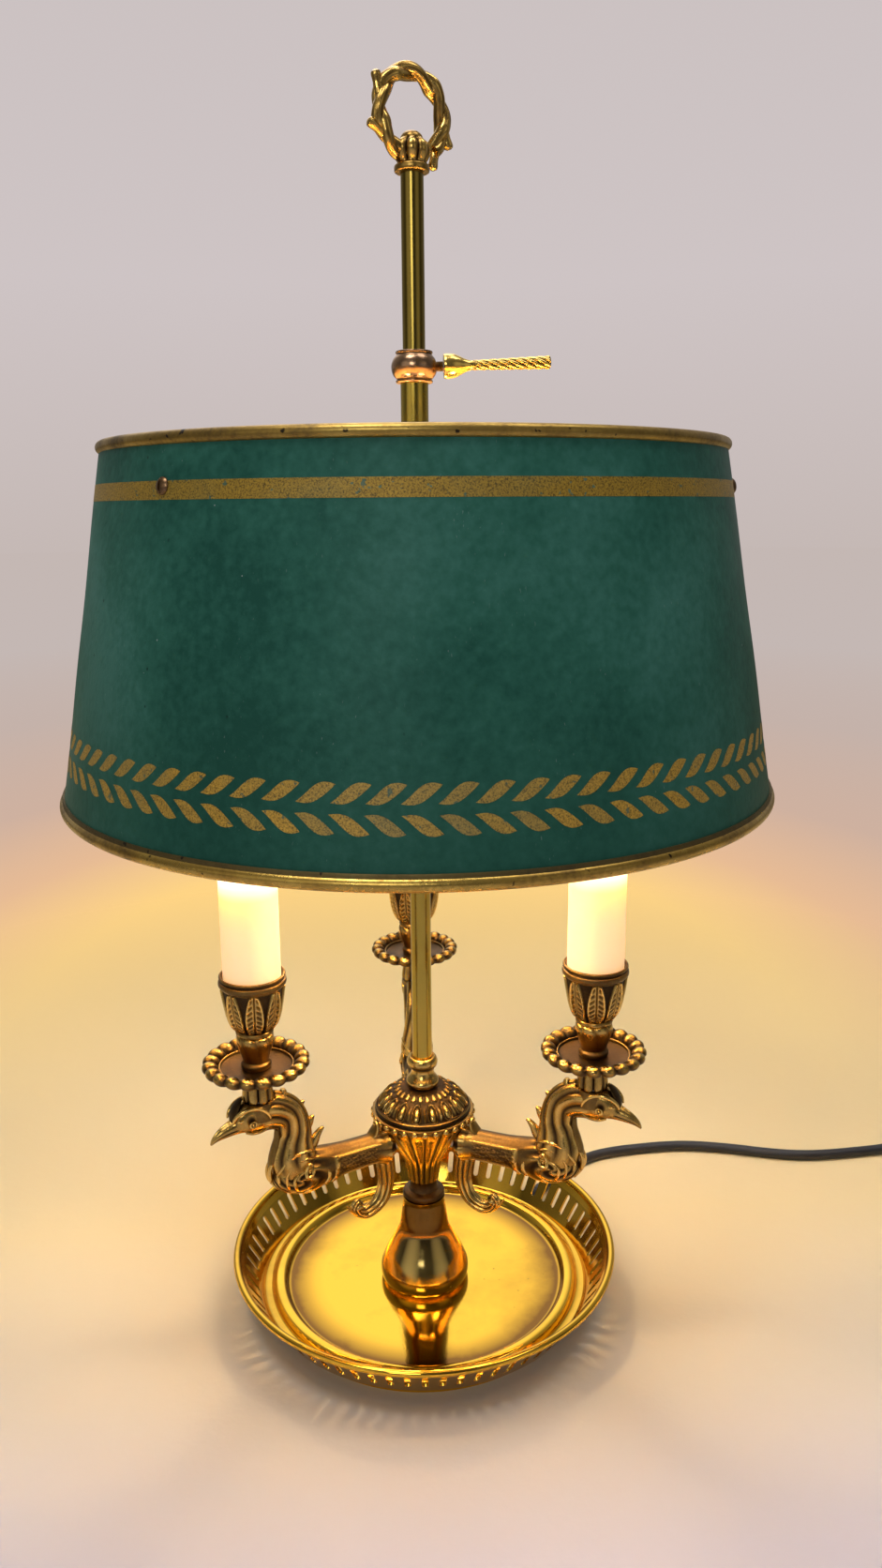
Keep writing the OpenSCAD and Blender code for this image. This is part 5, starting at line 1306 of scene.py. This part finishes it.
    def build(self) -> None:
        """Makes the arm as one piece. All that rises past the seat of the stub is cut level with it."""
        leaf = limb(((31, 59.3, 1.6, 2.4), (36, 57.4, 1.7, 2.4), (40.5, 59.2, 1.4, 1.8), (43.6, 61.6, 0.9, 1.1),
                     (46, 65.2, 0.25, 0.3)), age=0.2)
        parts = [
            limb(self.bar, 14, 112, self.bar_relief), limb(self.neck, 14, 96, self.neck_relief),
            limb(self.scroll, 10, 60, self.reeds), leaf, ball((39.3, 0, 62.0), 2.5, 20, (1, 1.05, 1), age=0.15),
            *(limb(t, age=0.25) for t in self.thorns), *self.head_details(), *self.carving(), *self.collar()]
        boss = revolve([[5.1, 129.6], [7.3, 129.6], [7.3, 138.2], [6.9, 138.6], [5.1, 138.6]], 64, age=0.6)
        parts.append(boss.moved((REACH, 0, 0)))
        skin = Skin.join(parts)
        x, y, high = skin.points.T
        over = np.hypot(x - REACH, y) < 7.75
        skin.points[:, 2] = np.where(over & (high > self.top), self.top, high)
        put(f"bird_arm_{self.side.tag}", skin.moved(degrees=self.side.value), ANTIQUE, f"arm_{self.side.tag}")


@dataclass
class CandleStack:
    """What stands on one bird's head: stub, drip pan, leaf cup, sleeve and bulb."""

    side: Side
    pan: float = 153.5
    cup_z: float = 155.0
    seat: float = 196.5

    def place(self, name: str, skin: Skin, finish: Finish, node: str, crease: float = 35.0) -> None:
        """Sets a skin made on the axis over this arm's candle axis, as a piece."""
        put(f"{name}_{self.side.tag}", skin.moved((REACH, 0, 0), self.side.value), finish, f"{node}_{self.side.tag}",
            crease=crease)

    def stub(self) -> None:
        """A short fluted pillar: eight staves with rounded feet and heads."""
        line = flow([[6.2, 138.6], [7.1, 138.8], [7.6, 140.0], [7.4, 143.0], [6.9, 147.0], [7.2, 151.0], [7.6, 152.8],
                     [7.0, 153.5]], 8)

        def staves(a: Array, s: Array) -> Rise:
            """Staves parted by grooves."""
            c = np.abs(np.cos(4 * a)) ** 0.5
            return 1.5 * (c - 1), np.clip(0.98 - 0.75 * c, 0, 1)

        self.place("pillar", revolve(line, 128, staves), ANTIQUE, "stub")

    def drip_pan(self) -> None:
        """A shallow pan inside a thin wire, with a wreath of plump lobes for its rim: the rise is the root of
        the cosine of the lobe's angle, leaning along the rim."""
        line = flow([[5.1, 0], [12, 0], [17.0, 0.1], [20.5, 0.7], [22.8, 1.5], [24.2, 3.0], [24.1, 4.7],
                     [22.6, 5.8], [20.4, 5.5], [18.6, 4.2], [17.9, 2.6], [17.7, 2.2], [17.3, 2.9],
                     [16.7, 2.9], [16.3, 2.1], [16.0, 1.7], [12.0, 1.5], [8.0, 1.5], [5.1, 1.5]], 6) + [0, self.pan]
        count = len(line) - 1

        def lobes(a: Array, s: Array) -> Rise:
            """Twenty lobes over the rim, from its underside to the wire."""
            on = ease(s * count, 17.0, 26.0) * (1 - ease(s * count, 56.0, 62.0))
            wave = np.abs(np.cos(10 * a + 2.2 * (s - 0.4)))
            rise = on * (1.7 * wave**0.5 - 1.15)
            wire = bump(s * count, 75.0, 5.0)
            tarnish = np.where(on > 0.05, 0.95 - 0.9 * wave**1.2 * bump(s * count, 42.0, 22.0), 0.78) - 0.6 * wire
            return rise, np.clip(tarnish, 0, 1)

        self.place("wreath_pan", revolve(line, 320, lobes, loop=True), ANTIQUE, "drip_pan")

    def cup(self) -> None:
        """Baluster, waist ring, and a cup of eight pointed leaves under a double lip. A leaf's edge runs
        where the angle from its middle equals a width that swells and closes with height; it stands proud of
        the cup, with a sunk vein and slanting notches beside it."""
        line = np.vstack([
            flow([[5.1, 0], [6.3, 0], [6.9, 1.0], [6.9, 2.4], [6.1, 3.4], [6.0, 4.2], [6.9, 7.5],
                  [8.0, 11.5], [8.4, 14.2], [8.0, 16.0], [6.9, 16.8], [7.2, 17.2], [8.2, 17.6],
                  [8.4, 18.4], [8.1, 19.2], [7.2, 19.6]], 6)[:-1],
            flow([[7.2, 19.6], [9.2, 21.0], [10.9, 23.6], [12.2, 27.4], [13.0, 31.6], [13.6, 36.0],
                  [14.1, 40.4]], 14),
            flow([[14.5, 41.0], [15.3, 41.6], [15.5, 42.6], [15.2, 43.7], [14.5, 44.1], [14.6, 44.8],
                  [15.1, 45.3], [15.0, 46.0], [14.5, 46.3], [14.0, 46.0], [13.7, 45.0], [13.6, 41.8],
                  [10.2, 41.4], [10.2, 33.0]], 4)]) + [0, self.cup_z]
        last = len(line) - 1

        def leaves(a: Array, s: Array) -> Rise:
            """Petals on the baluster and leaves on the cup."""
            k = s * last
            x = np.abs(((a * 8 / TAU) % 1.0) - 0.5) * 2
            t = np.clip((k - 90) / 84, 0, 1)
            on = (k > 90) & (k < 173)
            width = 0.93 * np.sin(np.pi * np.clip(0.16 + 0.80 * t, 0, 1)) ** 0.5
            edge = ease(width - x, 0.0, 0.1)
            rimmed = bump(width - x, 0.14, 0.13)
            vein = bump(x, 0.0, 0.14)
            beside = ease(x, 0.16, 0.22) * (1 - ease(x, width - 0.3, width - 0.22))
            notch = (0.5 + 0.5 * np.sin(t * 62 + x * 9)) * beside
            leaf = on * (0.95 * edge + 0.5 * rimmed - 0.6 * vein * edge - 0.45 * notch * edge - 0.6)
            petal = 0.7 * np.abs(np.cos(4 * a + 0.06 * (k - 50))) ** 0.6 * bump(k, 60.0, 34.0)
            gap = bump(k, 88.0, 5.0) + bump(k, 88.0, 4.0) + bump(k, 191.0, 3.5)
            tarnish = np.where(on, 0.95 - 0.75 * edge - 0.35 * rimmed + 0.5 * notch * edge + 0.4 * vein * edge,
                               0.6 - 0.75 * petal + 0.5 * gap)
            return leaf + petal, np.clip(tarnish, 0, 1)

        self.place("leaf_cup", revolve(line, 320, leaves), ANTIQUE, "candle_cup", 50.0)

    def candle(self) -> None:
        """The candle cover and the lit bulb above it."""
        tube = np.array([[11.9, 0], [13.2, 0], [13.2, 20], [13.2, 40], [13.2, 60], [13.2, 76.4], [12.9, 77], [12.2, 77],
                         [11.9, 76.4], [11.9, 40]]) + [0, self.seat]
        self.place("cover", revolve(tube, 96, loop=True), CANDLE, "candle_sleeve")
        glass = flow([[7.0, 0], [8.2, 5.0], [12.6, 14.4], [17.5, 30.2], [15.05, 44.6], [9.1, 58.3],
                      [3.5, 67.7], [0.0, 72.0]], 8) + [0, self.seat + 74]
        self.place("bulb", revolve(np.maximum(glass, 0), 64), BULB, "bulb_glass")

    def build(self) -> None:
        """Makes the whole stack."""
        self.stub()
        self.drip_pan()
        self.cup()
        self.candle()


# ---- Shade ------------------------------------------------------------------------------------------


@dataclass
class Shade:
    """The painted cone, its rims, its gilt band and leaves, and the screws that hold the spider."""

    low_r: float = 163.1
    high_r: float = 137.0
    low_z: float = 280.0
    high_z: float = 431.8
    sheet: float = 0.8
    screw_z: float = 414.8
    screw_az: tuple[float, float, float] = (106.5, 226.5, 346.5)
    leaf_pitch: float = 12.7
    leaf_len: float = 14.6
    scale_r: float = 160.0

    def share(self, z: Array | float) -> Array:
        """A height as a share of the way up the cone."""
        return (np.asarray(z, float) - self.low_z) / (self.high_z - self.low_z)

    def radius(self, z: Array | float) -> Array:
        """Outside radius of the cone at a height."""
        return self.low_r + (self.high_r - self.low_r) * self.share(z)

    @staticmethod
    def dent(a: Array, v: Array) -> Array:
        """The dents at an angle and a share of the height: three slow waves that fade at both edges."""
        wave = 0.22 * np.sin(3 * a + 4 * v) + 0.14 * np.sin(7 * a - 9 * v) + 0.1 * np.sin(12 * a + 14 * v)
        return wave * np.sin(np.pi * np.clip(v, 0, 1))

    def cone(self) -> None:
        """The sheet, outside and inside, with soft dents of under half a millimetre."""
        z = np.linspace(self.low_z, self.high_z, 40)
        out = stack(self.radius(z), z)
        inner = out[::-1] - [self.sheet, 0]

        def dents(a: Array, s: Array) -> Rise:
            """The same dents on both faces of the sheet."""
            return np.where(s < 0.5, 1, -1) * self.dent(a, 1 - np.abs(2 * s - 1)), np.full_like(s, 0.3)

        skin = revolve(np.vstack([out, inner]), 256, dents, loop=True)
        obj = put("painted_cone", skin, TOLE, "shade_cone", body=Body.SHADE)
        mesh = obj.data
        mesh.materials.append(INSIDE.material())
        normals, middles = (np.zeros(len(mesh.polygons) * 3, np.float32) for _ in range(2))
        mesh.polygons.foreach_get("normal", normals)
        mesh.polygons.foreach_get("center", middles)
        n, c = normals.reshape(-1, 3), middles.reshape(-1, 3)
        inward = (n[:, :2] * c[:, :2]).sum(-1) < 0
        mesh.polygons.foreach_set("material_index", inward.astype(np.int32))

    def rims(self) -> None:
        """Rolled rims: each is a round roll with a narrow flat fold of sheet beside it on the cone."""
        a = around(32)
        roll = stack(161.9 + 2.9 * np.cos(a), self.low_z + 2.9 * np.sin(a))
        fold = np.array([[163.6, 281.0], [163.5, 283.6], [163.2, 284.2], [162.3, 284.0], [162.5, 281.0]])
        bottom = Skin.join([revolve(roll, 256, loop=True, age=0.0), revolve(fold, 256, loop=True, age=0.85)])
        put("bottom_roll", bottom, RIM_GOLD, "shade_bottom_rim", body=Body.SHADE)
        roll = stack(136.2 + 2.6 * np.cos(a), self.high_z + 2.6 * np.sin(a))
        put("top_roll", revolve(roll, 256, loop=True, age=0.25), RIM_GOLD, "shade_top_rim", body=Body.SHADE)

    def on_cone(self, u: Array, z: Array, lift: float = 0.06) -> Array:
        """Points on the cone from a distance round it, 0 at the front and in millimetres at the scale radius,
        and a height."""
        a = u / self.scale_r - np.pi / 2
        r = self.radius(z) + self.dent(a, self.share(z)) + lift
        return stack(r * np.cos(a), r * np.sin(a), z)

    def strip(self, u: Array, z: Array, age: Array) -> Skin:
        """A thin skin on the cone from grids of distance, height and wear."""
        n, m = u.shape
        quads = lattice(n, m, round_m=False)[:, [0, 3, 2, 1]]
        return Skin(self.on_cone(u, z).reshape(-1, 3), quads, np.broadcast_to(age, (n, m)).reshape(-1))

    def leaves(self) -> None:
        """Two rows of laurel leaves that lean apart from a bare middle line. Along a leaf the middle line is an S, a
        straight with a sine taken off; the half width is a sine skewed to the blunt end. The gold gives way to the
        paint most at the front and least at the sides."""
        count = int(round(TAU * self.scale_r / self.leaf_pitch))
        pitch = TAU * self.scale_r / count
        t = np.linspace(0, 1, 13)[:, None]
        w = np.linspace(-1, 1, 4)[None, :]
        half = 2.4 * np.sin(np.pi * t**1.15) ** 0.9
        skins = []
        for k in range(count):
            for z_tip, z_end in ((307.8, 314.3), (303.8, 297.4)):
                dx, dz = self.leaf_len, z_end - z_tip
                along = math.hypot(dx, dz)
                cx = dx * t + 0.4 * math.sin(k * 7.3 + z_tip)
                cz = z_tip + dz * (t - 0.09 * np.sin(TAU * t))
                u = cx - dz / along * half * w + k * pitch
                z = cz + dx / along * half * w
                front = ((u + 500.0) % (TAU * self.scale_r)) - 500.0
                # the gold is dullest at the front and brightest at the sides, with a small change from leaf to leaf
                worn = 0.3 * bump(front, 0.0, 95.0) + 0.12 * math.sin(k * 3.1 + z_end)
                skins.append(self.strip(u, z, np.clip(worn, 0, 1)))
        put("laurel", Skin.join(skins), LEAF_GOLD, "shade_cone", body=Body.SHADE)

    def band(self) -> None:
        """The plain gilt band at the screws' height."""
        u = TAU * self.scale_r * np.arange(257) / 256
        z = np.array([409.9, 412.2, 414.5, 416.7])
        band = self.strip(*np.meshgrid(u, z, indexing="ij"), np.zeros((257, 4)))
        put("gilt_band", band, BAND_GOLD, "shade_cone", body=Body.SHADE)

    def screws(self) -> None:
        """Slotted dome heads on pale worn rings."""
        slope = math.atan((self.low_r - self.high_r) / (self.high_z - self.low_z))
        parts = []
        for az in self.screw_az:
            dome = revolve(flow([[0.0, -1.0], [3.2, -1.0], [3.35, 0.1], [3.1, 0.6], [2.4, 1.2], [1.3, 1.65],
                                 [0.0, 1.8]], 5), 48, age=0.55)
            p = dome.points
            cut = (np.abs(p[:, 1]) < 0.42) & (p[:, 2] > 0.2)
            p[:, 2] = np.where(cut, np.minimum(p[:, 2], 0.75), p[:, 2])
            x, z = swing(p[:, 0], p[:, 2], slope - np.pi / 2)
            dome.points = stack(x + float(self.radius(self.screw_z)) + 0.05, p[:, 1], z + self.screw_z)
            parts.append(dome.moved(degrees=az))
        put("screw_domes", Skin.join(parts), BRONZE, "shade_screws", body=Body.SHADE)

    def build(self) -> None:
        """Makes the shade's pieces."""
        self.cone()
        self.rims()
        self.leaves()
        self.band()
        self.screws()


# ---- Slide, clamp and finial ------------------------------------------------------------------------


@dataclass
class Clamp:
    """The sliding sleeve, the ball and the key."""

    ball_z: float = 460.3
    ball_h: float = 13.6
    tilt: float = 2.0

    def build(self) -> None:
        """Makes the clamp's pieces."""
        z, h = self.ball_z, self.ball_h
        sleeve = [[5.1, 399.8], [6.2, 399.8], [6.2, 411.0], [8.2, 411.05], [8.2, 412.9], [6.2, 413.0], [6.2, 440.0],
                  [6.2, z + 3.4], [5.1, z + 3.4]]
        put("sleeve", revolve(sleeve, 96, age=0.3), ROD_BRASS, "slide_sleeve", body=Body.CLAMP)
        orb = flow([[5.2, 0], [7.6, 0], [8.2, 0.5], [8.2, 1.1], [7.75, 1.6], [9.2, 3.2], [9.95, 5.0],
                    [10.2, 6.8], [9.95, 8.6], [9.2, 10.4], [7.9, 12.1], [8.15, 12.6], [8.2, 13.2],
                    [7.7, h], [5.2, h]], 6) + [0, z]

        def worn(a: Array, s: Array) -> Rise:
            """Dark beside the lips, paler on the round."""
            return np.zeros_like(s), 0.22 + 0.6 * (bump(s, 0.27, 0.06) + bump(s, 0.73, 0.06))

        put("clamp_orb", revolve(orb, 96, worn), BRONZE, "clamp_ball", body=Body.CLAMP)
        self.key()

    def key(self) -> None:
        """The key on its own axis, then tipped to point along +X: thread, round cup and a stem of six twisted
        ropes, whose section is a circle swelled by the cosine of six times the angle less the twist."""
        line = flow([[0.0, 13.1], [4.6, 13.1], [5.3, 13.7], [5.35, 15.2], [5.25, 16.6], [4.9, 18.3], [4.1, 20.2],
                     [3.1, 22.2], [2.35, 24.2], [2.05, 25.6], [2.1, 27.4]], 6)
        thread = [[2.0 + 0.25 * (k % 2), 5.2 + 0.4 * k] for k in range(20)]
        z = np.linspace(26.2, 61.2, 200)
        a, zz = np.meshgrid(around(60), z, indexing="xy")
        t = (zz - z[0]) / (z[-1] - z[0])
        twist = TAU * (zz - z[0]) / 25.0
        lobe = np.abs(np.cos(3 * (a + twist))) ** 0.7
        grown = ease(t, 0.0, 0.1)
        end = np.sqrt(np.clip(1 - ((zz - 60.2) / 1.05).clip(0, 1) ** 2, 0.05, 1))
        r = (2.15 + 0.78 * t) * (1 - 0.32 * (1 - lobe) * grown) * end
        rope = Skin.grid(stack(r * np.cos(a), r * np.sin(a), zz), np.clip(0.95 - 0.95 * lobe, 0, 1))
        skin = Skin.join([revolve(line, 64, age=0.05), revolve(thread, 32, age=0.7), rope])
        x, z = swing(skin.points[:, 2], skin.points[:, 0], math.radians(self.tilt))
        skin.points = stack(x, skin.points[:, 1], self.ball_z + self.ball_h / 2 + z)
        put("key_stem", skin, KEY_BRASS, "clamp_key", body=Body.KEY)


@dataclass
class Finial:
    """The ribbed bud and the twisted vine ring."""

    bud_z: float = 545.8
    ring_z: float = 568.3
    ring_az: float = 33.0
    lean: float = 12.0
    core: float = 16.3
    strand: float = 2.55
    apart: float = 1.35
    twists: int = 4

    def build(self) -> None:
        """Makes the bud and the ring."""
        line = flow([[5.1, 0], [7.0, 0], [7.6, 0.7], [7.6, 2.4], [6.9, 3.2], [6.4, 4.0], [7.2, 5.4],
                     [8.0, 7.4], [8.1, 9.2], [7.4, 11.2], [6.1, 12.6], [5.0, 13.2], [4.7, 13.9],
                     [4.1, 14.9], [2.7, 15.9], [0.0, 16.2]], 6) + [0, self.bud_z]

        def ribs(a: Array, s: Array) -> Rise:
            """Eight plump ribs on the bud's swell."""
            on = ease(s, 0.26, 0.36) * (1 - ease(s, 0.70, 0.78))
            c = np.abs(np.cos(4 * a)) ** 0.55
            return on * (1.7 * c - 1.7), np.clip(0.35 + on * (0.55 - 0.8 * c) + 0.3 * bump(s, 0.27, 0.05), 0, 1)

        put("bud", revolve(np.maximum(line, 0), 160, ribs), ANTIQUE, "finial_bud")
        put("vine_ring", self.ring(), ANTIQUE, "finial_ring")

    def ring(self) -> Skin:
        """Two strands wound round a circle: a strand's distance from the circle's centre is the core radius
        plus a cosine of the winding angle, and its offset from the ring's plane a sine of it. Bark grooves
        run along each strand and swell at its knots."""
        a = around(360)
        parts = []
        keep = np.abs(a - 1.5 * np.pi) > 0.46
        start = int(np.argmax(~keep)) + int((~keep).sum())
        turn = np.roll(a, -start)[np.roll(keep, -start)]
        for s in (0, 1):
            w = self.twists * turn + np.pi * s
            q = self.core + self.apart * np.cos(w)
            path = stack(q * np.cos(turn), self.apart * np.sin(w), q * np.sin(turn))
            knots = 0.35 * bump(turn % 1.3, 0.65, 0.22)

            def bark(b: Array, t: Array, knots: Array = knots) -> Rise:
                """Grooves along the strand."""
                g = np.abs(np.cos(3.5 * b + 9 * t)) ** 0.6
                rise = 0.22 * (g - 1) + np.broadcast_to(knots[:, None], b.shape)
                return rise, np.clip(0.75 - 0.6 * g - 0.3 * knots[:, None], 0, 1)

            parts.append(carry(path, self.strand, 28, up=SIDEWAYS, relief=bark))
        for deg in (150, 202, 340, 306):
            b = math.radians(deg)
            out, along = np.array([math.cos(b), 0, math.sin(b)]), np.array([-math.sin(b), 0, math.cos(b)])
            base = (self.core + 0.6) * out
            tip_way = unit(out * 0.5 + (-along) * 0.85)
            line = base + np.linspace(0, 8.8, 14)[:, None] * tip_way
            size = np.interp(np.linspace(0, 1, 14), [0, 0.5, 0.82, 0.95, 1.0], [2.1, 1.7, 2.0, 1.7, 0.7])
            parts.append(carry(line, size, 18, up=SIDEWAYS, relief=lambda v, t: (
                0.2 * np.abs(np.cos(3 * v)), np.clip(0.5 - 0.4 * np.abs(np.cos(3 * v)), 0, 1))))
        skin = Skin.join(parts)
        x, z = swing(skin.points[:, 0], skin.points[:, 2], math.radians(self.lean))
        skin.points = turn_z(stack(x, skin.points[:, 1], z), self.ring_az) + [0, 0, self.ring_z]
        return skin


@dataclass
class Kept:
    """CAD nodes that keep their own mesh and get a finish."""

    finishes: dict[str, Finish] = field(default_factory=lambda: {
        "foot_hoop": TRAY_BRASS, "base_nut": STEEL, "base_washer": STEEL, "tie_tube": STEEL, "arm_screws": STEEL,
        "shade_spider": ROD_BRASS, "shade_nuts": STEEL, "slide_nut": ROD_BRASS,
        **{f"nipple_{s.tag}": STEEL for s in Side}, **{f"lampholder_{s.tag}": IVORY for s in Side},
        **{f"bulb_cap_{s.tag}": STEEL for s in Side}})

    def build(self) -> None:
        """Gives each kept node its finish."""
        for name, finish in self.finishes.items():
            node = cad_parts[name]
            node.data.materials.clear()
            node.data.materials.append(finish.material())
            LOG.info("%s keeps its solid", name)


def main() -> None:
    """Builds the studio, the cord and every sub-assembly."""
    logging.basicConfig(level=logging.INFO, format="%(name)s: %(message)s")
    Studio().build()
    Flex().build()
    Tray().build()
    Column().build()
    for side in Side:
        BirdArm(side).build()
        CandleStack(side).build()
    Shade().build()
    Clamp().build()
    Finial().build()
    Kept().build()


if __name__ == "__main__":
    main()
